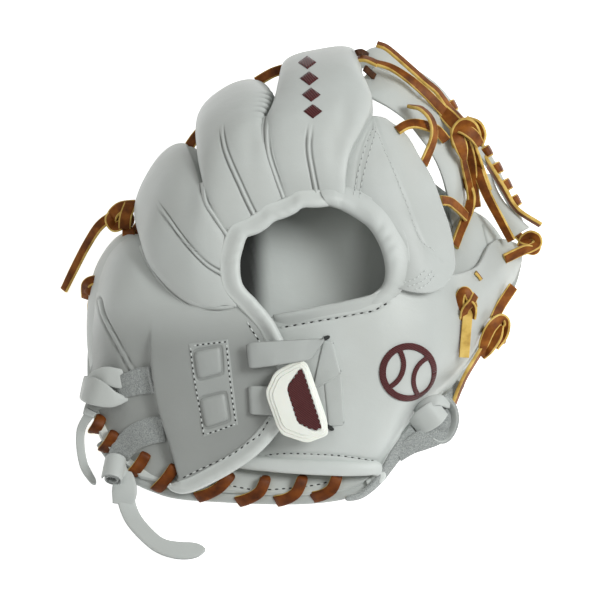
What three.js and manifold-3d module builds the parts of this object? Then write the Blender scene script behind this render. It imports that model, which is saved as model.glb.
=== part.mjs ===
// A fielder's softball glove for the left hand, lying palm down on a table.
// Units are millimetres. Leather is laid out in the plane of the back of the wrist:
// across runs from the little finger to the thumb, up runs from the heel to the fingertips,
// and out points away from the back of the hand. The finished glove is then tilted, so that its
// heel, its fingertips and the edges of its thumb and little finger lie on the table.
import * as THREE from "three";
import { mergeVertices } from "three/addons/utils/BufferGeometryUtils.js";
import Module from "manifold-3d";

const wasm = await Module();
wasm.setup();

// Driving dimensions
const TILT_DEG = 27; // the back of the wrist leans this much from the table
const HEEL_UP = -100; // the table meets the plane of the wrist here, at the heel
const BACK_WALL = 3; // leather and its lining, on the back
const PALM_WALL = 6.6; // leather, padding and lining, in the palm
const STALL_WALL = 3.4;
const CROTCH_WALL = 2.2;
const WEB_WALL = 2.4;
const WEB_TOP_WALL = 4;
const GAP = 0.35; // clear space between pieces that touch
const LACE_WIDE = 6;
const LACE_THICK = 1.9;

const TILT = THREE.MathUtils.degToRad(TILT_DEG);
const glove = new THREE.Group();

const LEATHER = { color: 0xc9cdc9, roughness: 0.55 };
const LINING = { color: 0xb9bdbb, roughness: 0.7 };
const SUEDE = { color: 0x9fa5a6, roughness: 0.95 };
const RAWHIDE = { color: 0xa65a24, roughness: 0.6 };
const RUBBER = { color: 0xf2f2ea, roughness: 0.45 };
const MAROON = { color: 0x4a1f24, roughness: 0.85 };

const point = (p) => new THREE.Vector3(p[0], p[1], p[2]);

// A smooth line of any number of columns through the rows of a table, read at t from 0 to 1.
function smoothRow(rows, t) {
  const last = rows.length - 1;
  const at = Math.min(t * last, last - 1e-9);
  const i = Math.floor(at);
  const f = at - i;
  const row = (k) => rows[Math.max(0, Math.min(last, k))];
  const [before, start, end, after] = [row(i - 1), row(i), row(i + 1), row(i + 2)];
  return start.map((b, c) => {
    const a = before[c];
    const d = end[c];
    const e = after[c];
    const slope1 = i === 0 ? d - b : (d - a) / 2;
    const slope2 = i + 1 === last ? d - b : (e - b) / 2;
    const f2 = f * f;
    const f3 = f2 * f;
    return b * (2 * f3 - 3 * f2 + 1) + slope1 * (f3 - 2 * f2 + f)
      + d * (-2 * f3 + 3 * f2) + slope2 * (f3 - f2);
  });
}

// Turns a list of corner points and triangles into a geometry whose faces point outwards.
function solidGeometry(points, triangles) {
  let volume = 0;
  for (const [a, b, c] of triangles) {
    volume += points[a].dot(new THREE.Vector3().crossVectors(points[b], points[c]));
  }
  const order = volume < 0 ? triangles.map(([a, b, c]) => [a, c, b]) : triangles;
  const geometry = new THREE.BufferGeometry();
  geometry.setAttribute("position", new THREE.Float32BufferAttribute(points.flatMap((p) => p.toArray()), 3));
  geometry.setIndex(order.flat());
  return geometry;
}

// Quads between neighbouring rings of points, each ring closed on itself.
function ringFaces(first, second, count) {
  const faces = [];
  for (let k = 0; k < count; k++) {
    const next = (k + 1) % count;
    faces.push([first + k, first + next, second + next], [first + k, second + next, second + k]);
  }
  return faces;
}

// A solid through closed rings of points, with flat ends.
function ringSolid(rings) {
  const count = rings[0].length;
  const points = rings.flat();
  const triangles = [];
  for (let i = 0; i + 1 < rings.length; i++) {
    triangles.push(...ringFaces(i * count, (i + 1) * count, count));
  }
  for (const [start, turned] of [[0, true], [(rings.length - 1) * count, false]]) {
    for (let k = 1; k + 1 < count; k++) {
      const face = [start, start + k, start + k + 1];
      triangles.push(turned ? face.reverse() : face);
    }
  }
  return solidGeometry(points, triangles);
}

// A leather panel: a grid through rows of points, thickened to both sides.
// Grown panels are wider and thicker all round, to clear a space in their neighbours.
function panelGeometry(rows, wall, steps, columns, grow = 0) {
  const grid = [];
  for (let i = 0; i <= steps; i++) {
    const line = rows[0].map((_, c) => smoothRow(rows.map((row) => row[c]), i / steps));
    grid.push(Array.from({ length: columns + 1 }, (_, j) => point(smoothRow(line, j / columns))));
  }
  const near = (i, j) => grid[Math.max(0, Math.min(steps, i))][Math.max(0, Math.min(columns, j))];
  if (grow) {
    const pushed = (from, to) => from.clone().sub(to).setLength(grow);
    const ends = [grid[0].map((p, j) => pushed(p, near(1, j))),
      grid[steps].map((p, j) => pushed(p, near(steps - 1, j)))];
    const edges = grid.map((line) => [pushed(line[0], line[1]), pushed(line[columns], line[columns - 1])]);
    ends[0].forEach((push, j) => grid[0][j].add(push));
    ends[1].forEach((push, j) => grid[steps][j].add(push));
    edges.forEach(([first, last], i) => {
      grid[i][0].add(first);
      grid[i][columns].add(last);
    });
  }
  const sides = [1, -1].map((side) => grid.map((line, i) => line.map((p, j) => {
    const down = near(i + 1, j).clone().sub(near(i - 1, j));
    const over = near(i, j + 1).clone().sub(near(i, j - 1));
    return p.clone().addScaledVector(down.cross(over).normalize(), side * (wall / 2 + grow));
  })));
  const wide = columns + 1;
  const layer = (steps + 1) * wide;
  const points = sides.flat(2);
  const triangles = [];
  for (let i = 0; i < steps; i++) {
    for (let j = 0; j < columns; j++) {
      const [a, b, c, d] = [i * wide + j, i * wide + j + 1, (i + 1) * wide + j + 1, (i + 1) * wide + j];
      triangles.push([a, c, b], [a, d, c]);
      triangles.push([layer + a, layer + b, layer + c], [layer + a, layer + c, layer + d]);
    }
  }
  const border = [];
  for (let j = 0; j < columns; j++) border.push(j);
  for (let i = 0; i < steps; i++) border.push(i * wide + columns);
  for (let j = columns; j > 0; j--) border.push(steps * wide + j);
  for (let i = steps; i > 0; i--) border.push(i * wide);
  border.forEach((a, k) => {
    const b = border[(k + 1) % border.length];
    triangles.push([a, b, layer + b], [a, layer + b, layer + a]);
  });
  return solidGeometry(points, triangles);
}

// One ring of a stall: flat sides, a crowned back and a fuller belly.
const CROWN_POWER = 2.1;
const BELLY_POWER = 3;
function stallRing(row, ahead, inset, count) {
  const [left, right] = [point(row.slice(0, 3)), point(row.slice(3, 6))];
  const centre = left.clone().lerp(right, 0.5);
  const across = right.clone().sub(left);
  const half = across.length() / 2 - inset;
  across.normalize();
  const outward = across.clone().cross(ahead).normalize();
  return Array.from({ length: count }, (_, k) => {
    const turn = (2 * Math.PI * (k + 0.5)) / count;
    const power = Math.sin(turn) > 0 ? CROWN_POWER : BELLY_POWER;
    const bent = (x) => Math.sign(x) * Math.abs(x) ** (2 / power);
    const height = (Math.sin(turn) > 0 ? row[6] : row[7]) - inset;
    return centre.clone()
      .addScaledVector(across, half * bent(Math.cos(turn)))
      .addScaledVector(outward, height * bent(Math.sin(turn)));
  });
}

// A hollow stall, open at its base and rounded at its tip.
function stallGeometry({ rows, tip }, wall, steps, count, grow = 0) {
  const stations = Array.from({ length: steps + 1 }, (_, i) => smoothRow(rows, i / steps));
  const middle = (row) => point(row.slice(0, 3)).lerp(point(row.slice(3, 6)), 0.5);
  const ahead = stations.map((_, i) => {
    const [a, b] = [Math.max(0, i - 1), Math.min(steps, i + 1)];
    return middle(stations[b]).sub(middle(stations[a])).normalize();
  });
  const layers = [-grow, wall + grow].map((inset) => {
    const rings = stations.map((row, i) => stallRing(row, ahead[i], inset, count));
    const end = middle(stations[steps]);
    const reach = tip - inset;
    for (const turn of [0.5, 0.85]) {
      const shrink = Math.cos((turn * Math.PI) / 2) ** 0.8;
      rings.push(rings[steps].map((p) => end.clone()
        .addScaledVector(p.clone().sub(end), shrink)
        .addScaledVector(ahead[steps], reach * Math.sin((turn * Math.PI) / 2))));
    }
    return { rings, pole: end.clone().addScaledVector(ahead[steps], reach) };
  });
  const points = [];
  const triangles = [];
  const starts = layers.map(({ rings, pole }, side) => {
    const start = points.length;
    points.push(...rings.flat(), pole);
    const faces = [];
    for (let i = 0; i + 1 < rings.length; i++) {
      faces.push(...ringFaces(start + i * count, start + (i + 1) * count, count));
    }
    const last = start + (rings.length - 1) * count;
    for (let k = 0; k < count; k++) faces.push([last + k, last + ((k + 1) % count), last + count]);
    triangles.push(...(side ? faces.map(([a, b, c]) => [a, c, b]) : faces));
    return start;
  });
  triangles.push(...ringFaces(starts[1], starts[0], count));
  return solidGeometry(points, triangles);
}

// A flat or oval strip along a route. Each row has a place and the way its face looks.
function stripGeometry(rows, wide, thick, steps, corners = 4, grow = 0) {
  const stations = Array.from({ length: steps + 1 }, (_, i) => smoothRow(rows, i / steps));
  const rings = stations.map((row, i) => {
    const [a, b] = [Math.max(0, i - 1), Math.min(steps, i + 1)];
    const ahead = point(stations[b]).sub(point(stations[a])).normalize();
    const face = point(row.slice(3, 6));
    face.addScaledVector(ahead, -face.dot(ahead)).normalize();
    const side = ahead.clone().cross(face);
    const past = i === 0 ? -grow : i === steps ? grow : 0;
    const reach = corners === 4 ? Math.SQRT2 : 1;
    return Array.from({ length: corners }, (_, k) => {
      const turn = (2 * Math.PI * (k + 0.5)) / corners;
      return point(row)
        .addScaledVector(ahead, past)
        .addScaledVector(side, reach * Math.cos(turn) * (wide / 2 + grow))
        .addScaledVector(face, reach * Math.sin(turn) * (thick / 2 + grow));
    });
  });
  return ringSolid(rings);
}

function toManifold(geometry) {
  return new wasm.Manifold(new wasm.Mesh({
    numProp: 3,
    vertProperties: geometry.attributes.position.array,
    triVerts: new Uint32Array(geometry.index.array),
  }));
}

function toGeometry(solid) {
  const mesh = solid.getMesh();
  const geometry = new THREE.BufferGeometry();
  geometry.setAttribute("position", new THREE.BufferAttribute(mesh.vertProperties, 3));
  geometry.setIndex(new THREE.BufferAttribute(mesh.triVerts, 1));
  return geometry;
}

// The table, as it lies to the plane of the back of the wrist
const TABLE_SIZE = 700;
const SETTLE = 2; // the leather is pressed flat by this much where it rests
const tableShape = new THREE.BoxGeometry(TABLE_SIZE, TABLE_SIZE, TABLE_SIZE);
tableShape.deleteAttribute("normal");
tableShape.deleteAttribute("uv");
tableShape.translate(0, 0, SETTLE - TABLE_SIZE / 2).rotateX(-TILT).translate(0, HEEL_UP, 0);
const tableBlock = toManifold(mergeVertices(tableShape));

// Adds a piece, cleared of the pieces added before it and flattened where it rests.
const cleared = [];
function add(name, build, finish) {
  let solid = toManifold(build(0)).subtract(tableBlock);
  for (const other of cleared) solid = solid.subtract(other);
  const bodies = solid.decompose().sort((a, b) => b.volume() - a.volume());
  const mesh = new THREE.Mesh(toGeometry(bodies[0]), new THREE.MeshStandardMaterial(finish));
  mesh.name = name;
  glove.add(mesh);
  cleared.push(toManifold(build(GAP)));
}

// Finger stalls
// Each row is one section, from the hand hole to the tip:
// left edge (across, up, out), right edge (across, up, out), crown above them, belly below.
const STALLS = {
  index_stall: {
    tip: 12,
    rows: [
      [-8.0, 52.5, 20, 22.4, 55, 20, 5, 28],
      [-11.6, 64, 20, 23.0, 63, 19.5, 6, 27.5],
      [-15.8, 77, 16, 25.5, 74, 16, 8.5, 27],
      [-17.4, 88, 8, 32.0, 86, 8, 12, 24],
      [-14.8, 96, -4, 36.5, 98, -4, 13, 20],
      [-11.0, 105, -18, 31.0, 108, -18, 13, 17],
      [-9.0, 111.5, -40, 28.5, 115, -40, 13, 15],
      [-8.0, 110.5, -66, 29.0, 113.5, -66, 12.5, 13],
      [-4.0, 105, -91, 29.0, 107, -91, 10, 11],
    ],
  },
  middle_stall: {
    tip: 12,
    rows: [
      [-37.6, 33.5, 20, -9.0, 53.5, 20, 5, 28],
      [-43.0, 43.5, 19.5, -12.6, 64.5, 20, 6.5, 27],
      [-47.0, 53, 16, -16.8, 77.5, 16, 9, 26.5],
      [-48.4, 61, 9, -18.4, 88.5, 8, 13, 24],
      [-50.0, 70, -1, -16.4, 95.5, -4, 14, 20],
      [-51.0, 78.5, -15, -15.5, 103, -18, 14, 17],
      [-50.5, 84, -35, -17.5, 107, -38, 13.5, 15],
      [-49.0, 84, -59, -19.0, 105.5, -62, 12.5, 13],
      [-45.0, 79.5, -80, -19.0, 99.5, -84, 10, 10.5],
    ],
  },
  ring_stall: {
    tip: 10,
    rows: [
      [-37.2, -2.0, 20, -38.6, 32.5, 20, 5, 27],
      [-44.0, -3.6, 19, -44.2, 43.0, 19, 7, 26],
      [-53.5, -1.6, 16, -48.0, 52.6, 16, 9.5, 25],
      [-63.2, 4.4, 10, -49.4, 60.6, 8, 12, 23],
      [-72.6, 15, 2, -52.0, 68.6, -2, 13, 20],
      [-77.4, 25, -8, -54.5, 75.0, -14, 13, 17],
      [-80.0, 33.5, -20, -56.0, 78.0, -28, 12.5, 15],
      [-78.5, 38, -36, -54.5, 77.5, -42, 12, 13],
      [-75.0, 38.5, -52, -53.5, 74.0, -56, 11, 11.5],
      [-69.5, 38, -65, -52.5, 67.0, -68, 9, 9],
    ],
  },
  pinky_stall: {
    tip: 6,
    rows: [
      [-106.0, -38, -25.5, -66.8, 1.4, 7, 9, 11],
      [-106.5, -24, -33, -73.6, 13.4, 0, 11, 12],
      [-105.5, -9, -40, -78.4, 23.5, -9, 12, 12.5],
      [-103.0, 3, -46, -81.6, 31.5, -22, 12, 12],
      [-99.5, 10, -51, -81.5, 33.0, -34, 10.5, 10.5],
      [-94.0, 14, -53.5, -79.0, 32.0, -43.5, 8.5, 8.5],
    ],
  },
};
for (const [name, stall] of Object.entries(STALLS)) {
  add(name, (grow) => stallGeometry(stall, STALL_WALL, 9, 11, grow), LEATHER);
}

// Back panels
// Each row is a line of points (across, up, out). The flap runs from the outer edge to its roll.
const FLAP_ROWS = [
  [[-107, -37, -26], [-93, -14, -6], [-67, 4, 7.5], [-51, -2, 16.5], [-36, -1.5, 21.5]],
  [[-106, -48, -21], [-91, -35, -3], [-66, -21, 9], [-46, -20, 17], [-25.5, -15, 22]],
  [[-103.5, -60, -14.5], [-87, -52, -2], [-62, -42, 9], [-36, -36, 17], [-13, -30, 22]],
  [[-98.5, -72, -8], [-82, -68, 0], [-57, -59, 9], [-32, -51, 16], [-11, -46.5, 21]],
  [[-91, -82, -3.5], [-76, -79, 2], [-54, -73, 8], [-33, -65, 13], [-17, -60, 17]],
  [[-82, -89.5, 0], [-71, -87, 4], [-56, -83, 7.5], [-40, -76.5, 11], [-27.5, -71, 13.5]],
  [[-72, -94, 3.5], [-64, -92.5, 5], [-57, -90, 6.5], [-49, -86.5, 8], [-42, -82, 9.5]],
];
add("back_flap", (grow) => panelGeometry(FLAP_ROWS, BACK_WALL, 10, 8, grow), LEATHER);

// The thumb's back and the wrist panel in one: from under the flap to the thumb's tip,
// each row from the outer edge to the hand hole or the web.
const THUMB_ROWS = [
  [[-30, -82, 4.5], [-27, -66, 6.5], [-24, -48, 9], [-20, -30, 12], [-17, -16, 14]],
  [[0, -84.5, 9], [2, -70, 12], [4, -50, 15], [6, -30, 18], [8, -12, 21]],
  [[25, -85.5, 8], [27, -70, 13], [29, -48, 18], [30, -26, 21], [30, -5, 23.5]],
  [[41, -83.5, 2], [43, -68, 11], [46, -46, 17.5], [46, -20, 21], [45, 1, 22]],
  [[52, -66, -9.5], [56, -54, 4], [60, -36, 14], [61, -14, 17], [59, 8, 17]],
  [[65, -52, -17], [70, -42, -5], [74, -28, 5], [76, -8, 8], [73, 12, 8]],
  [[77, -42, -22.5], [81, -33, -12], [85, -20, -3], [86, -3, -1], [82, 14, -4]],
  [[88, -27, -30], [91, -19, -22], [94, -9, -15], [94, 4, -13], [90, 18, -16]],
  [[98, -9, -39], [100, -3, -33], [102, 5, -28], [101, 15, -27], [96, 28, -30]],
  [[107, 6, -46.5], [108, 10, -43], [108, 16, -40], [106, 23, -39], [102, 31, -40]],
  [[112, 18, -52], [113, 20, -51], [113, 23, -49.5], [112, 26, -49], [110, 29, -49]],
];
add("thumb_back", (grow) => panelGeometry(THUMB_ROWS, BACK_WALL, 15, 8, grow), LEATHER);

// From the top of the index seam down to its round end, each row from the seam to the free edge.
const CROTCH_ROWS = [
  [[35.8, 92, 0], [39, 92, 0], [41, 91.6, -0.5], [43, 91, -1]],
  [[31, 84.5, 9], [38, 84, 8.5], [46, 83.5, 5], [53, 83, -1]],
  [[24.6, 74, 15.5], [37, 72.5, 16], [49, 71, 12], [60, 71.5, -1]],
  [[21.6, 63, 19], [37, 60.5, 20], [52, 59, 15.5], [66.5, 60.5, 0]],
  [[21.6, 55, 21], [40, 50, 22], [56, 46, 17], [71, 48, 2]],
  [[37, 45.5, 23], [47, 40, 22.5], [60, 36, 18], [75, 36, 4]],
  [[46.5, 32, 23.5], [54, 28, 22.5], [65, 25, 17.5], [77, 25, 7]],
  [[50.5, 19, 24], [56, 16.5, 23], [66, 14.5, 19], [77, 15, 11]],
  [[51.5, 8.5, 24], [56, 5, 23], [64, 3.5, 21], [72, 5.5, 16]],
];
add("crotch_panel", (grow) => panelGeometry(CROTCH_ROWS, CROTCH_WALL, 10, 5, grow), LEATHER);

// Palm
// From the heel to the finger crotches, each row from the little finger's edge to the thumb's.
const PALM_ROWS = [
  [[-80, -91, -1], [-60, -95.5, 0.5], [-30, -98, 1.5], [-5, -99, 2], [12, -98, 2], [26, -95.5, 1], [38, -89.5, -2.5]],
  [[-98, -74, -12.5], [-72, -78, -7.5], [-38, -80, -4.5], [-5, -81, -3.5], [16, -80, -4], [34, -77, -7.5], [49, -72, -13.8]],
  [[-105, -52, -24], [-78, -52, -15.5], [-42, -50, -10.5], [-5, -50, -8.5], [25, -49, -8.5], [48, -50, -14.5], [66, -53, -23.5]],
  [[-106, -30, -35], [-80, -24, -25], [-44, -16, -17], [-4, -14, -14], [32, -14, -12], [62, -20, -19], [84, -33, -33.7]],
  [[-104, -10, -45], [-80, -4, -35], [-50, 12, -22], [-8, 26, -17.5], [38, 18, -14], [72, 2, -22], [97, -11, -45]],
  [[-99, 6, -53], [-78, 10, -43], [-58, 34, -27], [-20, 58, -21.5], [42, 48, -18], [80, 22, -32], [106, 5, -53.5]],
  [[-95, 13, -56.5], [-74, 20, -47], [-56, 46, -32], [-14, 82, -25], [42, 72, -25], [82, 46, -44], [110, 23, -62]],
];
add("palm", (grow) => panelGeometry(PALM_ROWS, PALM_WALL, 12, 14, grow), LINING);

// Finds the outermost leather at a place on the back, and the way it faces.
const ray = new THREE.Raycaster();
function surfaceAt(across, up) {
  ray.set(new THREE.Vector3(across, up, 300), new THREE.Vector3(0, 0, -1));
  const hit = ray.intersectObjects(glove.children, false)[0];
  return { out: hit.point.z, face: hit.face.normal };
}

// Lays a route on the leather. Rows: place (across, up), then its height above the leather.
function laidOn(rows) {
  const found = rows.map(([across, up]) => surfaceAt(across, up));
  return rows.map(([across, up, lift], i) => {
    const face = new THREE.Vector3();
    found.slice(Math.max(0, i - 1), i + 2).forEach((near) => face.add(near.face));
    return [across, up, found[i].out + lift, ...face.normalize().toArray()];
  });
}

// Rows with a place and no face look outwards from the back.
const facingOut = (rows) => rows.map((row) => (row.length > 3 ? row : [...row, 0, 0, 1]));

function addStrip(name, { rows, wide, thick, steps, corners = 4 }, finish) {
  const route = facingOut(rows);
  add(name, (grow) => stripGeometry(route, wide, thick, steps ?? 3 * (rows.length - 1), corners, grow), finish);
}

// Bindings
// Rows: place (across, up, out), then the way the face looks.
addStrip("hole_roll", {
  wide: 7.6,
  thick: 5,
  steps: 24,
  corners: 6,
  rows: [
    [-47, -88.6, 8.5, 0, 0, 1],
    [-34.5, -81.4, 11.5, 0, 0, 1],
    [-21, -72, 15.5, 0, 0, 1],
    [-11.5, -61, 19.5, 0, 0, 1],
    [-6.5, -46.5, 22.5, 0, 0, 1],
    [-8, -31, 23.5, 0, 0, 1],
    [-16, -17, 24, -0.2, 0, 1],
    [-26, -4, 24.5, -0.2, 0, 1],
    [-32.2, 9, 24.5, -0.3, 0, 1],
    [-33, 20, 24.5, -0.3, 0, 1],
    [-30.2, 29.5, 25, -0.3, 0.1, 1],
    [-22, 38.5, 25, -0.1, 0.2, 1],
    [-10, 45, 25.5, 0, 0.2, 1],
    [2, 49, 25.5, 0, 0.2, 1],
    [13, 50, 25.5, 0, 0.2, 1],
  ],
}, LEATHER);
addStrip("wrist_roll", {
  wide: 5,
  thick: 4,
  steps: 8,
  corners: 6,
  rows: [[-27, -84.5, 5], [-12, -85.5, 7.5], [2, -86.6, 9], [20, -88, 9], [33, -87.6, 6], [42, -85.6, 1]],
}, LEATHER);
addStrip("heel_roll", {
  wide: 5,
  thick: 4.5,
  steps: 12,
  corners: 6,
  rows: [
    [-93, -81, -7], [-84, -88.5, -2.5], [-72, -94, 0.8], [-60, -97.2, 2.2], [-40, -99.5, 3], [-18, -100.6, 3.4],
    [5, -100.6, 3.4], [24, -98.4, 2.6], [38, -92, -0.5],
  ],
}, LEATHER);

// The stitched patch with its two windows, on the flap
const PATCH_CORNERS = [[-55, -22], [-36, -20.5], [-31.5, -62], [-48.5, -67.5]];
const WINDOWS = [
  [[-52, -23.5], [-38, -22.5], [-38, -38.5], [-50.5, -40]],
  [[-50, -47], [-37, -45.5], [-34.8, -60], [-46.5, -64]],
];
const PATCH_WALL = 1.1;
const between = (a, b, t) => a.map((x, i) => x + (b[i] - x) * t);
function patchRows(corners) {
  const steps = 3;
  const [topLeft, topRight, bottomRight, bottomLeft] = corners;
  return Array.from({ length: steps + 1 }, (_, i) => {
    const [left, right] = [between(topLeft, bottomLeft, i / steps), between(topRight, bottomRight, i / steps)];
    return Array.from({ length: 3 }, (_, j) => {
      const [across, up] = between(left, right, j / 2);
      return [across, up, surfaceAt(across, up).out + PATCH_WALL / 2 + GAP];
    });
  });
}
const patch = patchRows(PATCH_CORNERS);
const windows = WINDOWS.map(patchRows);
add("window_patch", (grow) => {
  const frame = toManifold(panelGeometry(patch, PATCH_WALL, 3, 2, grow));
  const holes = windows.map((rows) => toManifold(panelGeometry(rows, 6, 1, 1)));
  return toGeometry(holes.reduce((left, hole) => left.subtract(hole), frame));
}, LEATHER);

// Wrist strap and its pull tab
addStrip("upper_strap", {
  wide: 12.5,
  thick: 1.8,
  rows: laidOn([[-24, -28, 2], [-12, -27, 2.2], [0, -24.5, 1.6], [11, -21.5, 1.4]]),
}, SUEDE);
addStrip("lower_strap", {
  wide: 12,
  thick: 1.8,
  rows: laidOn([[-25, -48, 2], [-17, -49, 2.4], [-10, -50, 2.6]]),
}, SUEDE);
addStrip("strap_anchor", {
  wide: 9,
  thick: 2,
  rows: laidOn([[14, -27, 1.6], [16.5, -38, 1.6], [18.4, -50, 1.6], [20, -64, 1.6]]),
}, SUEDE);
const TAB_OUTLINE = [[0, -29], [-12.5, -35.5], [-17.5, -46], [-10, -66.5], [3.5, -71], [14, -67], [13.5, -59.5], [4, -32]];
const INSERT_OUTLINE = [[0, -35], [-6, -44], [-1, -60], [6.5, -64], [10.5, -63], [1.5, -35.5]];
const TAB_OUT = 27;
const TAB_THICK = 4;
const INSERT_DEEP = 1.4;
function outlineSolid(outline, low, high, grow) {
  const middle = outline.reduce(([a, b], [c, d]) => [a + c / outline.length, b + d / outline.length], [0, 0]);
  const ring = (out) => outline.map(([across, up]) => {
    const push = new THREE.Vector2(across - middle[0], up - middle[1]).setLength(grow);
    return new THREE.Vector3(across + push.x, up + push.y, out);
  });
  return ringSolid([ring(low - grow), ring(high + grow)]);
}
add("tab_insert", (grow) => outlineSolid(INSERT_OUTLINE, TAB_OUT - INSERT_DEEP, TAB_OUT, grow), MAROON);
add("pull_tab", (grow) => outlineSolid(TAB_OUTLINE, TAB_OUT - TAB_THICK, TAB_OUT, grow), RUBBER);

// Web between the index stall and the thumb
const WEB_BAND_ROWS = [
  [[28, 107, -20], [32, 112, -30], [38, 117, -42]],
  [[36.5, 101.5, -15], [44, 107, -24], [51, 111, -36]],
  [[46, 96, -14], [53, 99, -21], [59.5, 103, -33]],
  [[53.5, 90, -14], [59, 93, -21], [66, 96.5, -33]],
  [[60, 82, -15], [66, 85, -22], [72.5, 87, -34]],
  [[66, 74, -17], [72, 77, -24], [77.5, 79, -36]],
  [[71, 64, -20], [77, 67.5, -27], [82, 70, -39]],
  [[75, 50.5, -24], [79, 54, -31], [83.5, 58, -43]],
  [[77, 37, -30], [81, 40.5, -37], [85, 44, -48]],
];
add("web_band", (grow) => panelGeometry(WEB_BAND_ROWS, WEB_WALL, 11, 3, grow), LEATHER);
const WEB_TOP_ROWS = [
  [[25, 114, -70], [27, 112, -79], [28, 109, -87]],
  [[50, 113, -70], [54, 110, -78], [56, 107, -86]],
  [[68, 102, -66], [72, 99, -73], [75, 96, -80]],
  [[84, 88, -62], [88, 85, -68], [91, 81, -74]],
  [[95, 71, -58], [99, 68, -63], [102, 64, -67]],
  [[103, 56, -54], [107, 53, -58], [110, 49, -61]],
  [[107, 42, -51], [111, 39, -54], [114, 35, -57]],
];
add("web_top", (grow) => panelGeometry(WEB_TOP_ROWS, WEB_TOP_WALL, 10, 2, grow), LEATHER);
addStrip("web_post", {
  wide: 11,
  thick: 2.2,
  rows: [[64, 98, -34.5, 0.6, 0.7, 0.5], [69, 101, -46, 0.6, 0.7, 0.5], [72.5, 101.5, -60, 0.6, 0.7, 0.2]],
}, LEATHER);

// Laces. Each has rows of places, from its fixed end to its free end.
const LACES = {
  ring_tip_lace: [[-57, 76, -31], [-53, 82, -31], [-49, 86.5, -32]],
  middle_tip_lace: [[-22, 110.5, -40], [-14, 115, -38], [-6.5, 117.5, -40]],
  pinky_tip_lace: [[-84, 33, -28], [-80, 39, -27], [-76, 43, -28]],
  crotch_lace_low: [[46, 84, 4], [54, 88, 3], [61, 88, -2], [66, 86, -12]],
  crotch_lace_high: [[53, 97, -9], [60, 95, -4], [66, 89.5, -3], [66, 79, -8], [64.5, 69, -5]],
  web_lace_side: [[71, 54, -14], [77, 51, -19], [82, 45, -28]],
  web_lace_post: [[86, 60, -36], [88.5, 52, -36], [84, 42, -31], [79, 28, -24]],
  web_tail_long: [[79, 91, -29], [70, 98.5, -25], [59, 107, -20], [47, 113, -18], [38, 119.5, -20]],
  web_tail_short: [[83, 87, -33], [72, 105, -40], [58, 114, -36], [47, 124, -34]],
  web_drop_lace: [[90, 70, -34], [93, 57, -33], [98, 43, -31], [106, 30, -33]],
  web_thin_lace: [[94, 72, -56], [103, 57, -43], [110, 46, -42], [122, 38, -44]],
  thumb_tip_tail: [[116, 27, -40], [111, 24, -36], [104, 19, -33]],
  thumb_lace_tail: [[84, -3, 4], [83, -16, 3], [82, -28, -1]],
  thumb_side_lace: [[98, -8, -24], [103, 2, -28], [108, 8, -36]],
  thumb_thin_lace: [[92, -25, -14], [82, -41, -6], [77, -51, -8]],
  pinky_far_tail: [[-92, 44, -34], [-101, 38, -35], [-108, 28, -40], [-115, 15, -46], [-120, 5, -50]],
  pinky_near_tail: [[-103, 4, -36], [-105, -2, -36], [-105, -8, -37]],
};
for (const [name, rows] of Object.entries(LACES)) {
  addStrip(name, { rows, wide: LACE_WIDE, thick: LACE_THICK }, RAWHIDE);
}

// Heel laces wrap over the heel roll. Columns: place on the leather, then place on the edge.
const HEEL_LACES = [
  [-99.5, -61, -102.5, -66],
  [-92.5, -69.5, -97, -74.5],
  [-76.5, -81, -83, -88],
  [-62.5, -87, -70, -93.5],
  [-45, -91, -49, -97.5],
  [-16.5, -90.5, -28, -98.6],
  [2, -91, -10, -99.5],
  [19, -90, 7, -99],
];
HEEL_LACES.forEach(([across, up, edgeAcross, edgeUp], i) => {
  const over = laidOn([[across, up, 1.4], [(across + edgeAcross) / 2, (up + edgeUp) / 2, 1.6]]);
  const [, , out] = over[1];
  const edge = [edgeAcross, edgeUp, out - 0.5, 0, -0.4, 1];
  const under = [edgeAcross - 2.4, edgeUp - 4, out - 5, 0, -1, 0.1];
  addStrip(`heel_lace_${i + 1}`, { rows: [...over, edge, under], wide: LACE_WIDE, thick: LACE_THICK, steps: 7 }, RAWHIDE);
});

// Knots: rounded lumps of wrapped lace. Columns: place, then half sizes.
const KNOTS = {
  web_knot: [83, 82, -28, 11, 13, 8],
  thumb_tip_knot: [117, 30, -42, 5, 5, 5],
  thumb_knot: [84, 1, 1, 6, 7, 5],
  thumb_side_knot: [96, -18, -17, 8, 10, 6],
  pinky_far_knot: [-88, 41, -33, 7, 6.5, 6],
  pinky_near_knot: [-104, 7, -36, 6, 6, 5],
};
const SUEDE_KNOTS = {
  upper_thong_knot: [-97, -45, -8, 12, 10.5, 8],
  lower_thong_knot: [-91, -84, 4, 7, 11, 7],
  thumb_thong_knot: [67.5, -61.5, -3, 9.5, 11, 8],
};
function knotGeometry([across, up, out, ...half], grow) {
  const around = 10;
  const bands = [0.12, 0.35, 0.65, 0.88];
  return ringSolid(bands.map((t) => Array.from({ length: around }, (_, k) => {
    const turn = (2 * Math.PI * k) / around;
    const girth = Math.sin(t * Math.PI);
    return new THREE.Vector3(
      across + (half[0] + grow) * girth * Math.cos(turn),
      up + (half[1] + grow) * girth * Math.sin(turn),
      out - (half[2] + grow) * Math.cos(t * Math.PI),
    );
  })));
}
for (const [name, row] of Object.entries(KNOTS)) add(name, (grow) => knotGeometry(row, grow), RAWHIDE);
for (const [name, row] of Object.entries(SUEDE_KNOTS)) add(name, (grow) => knotGeometry(row, grow), SUEDE);

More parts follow.
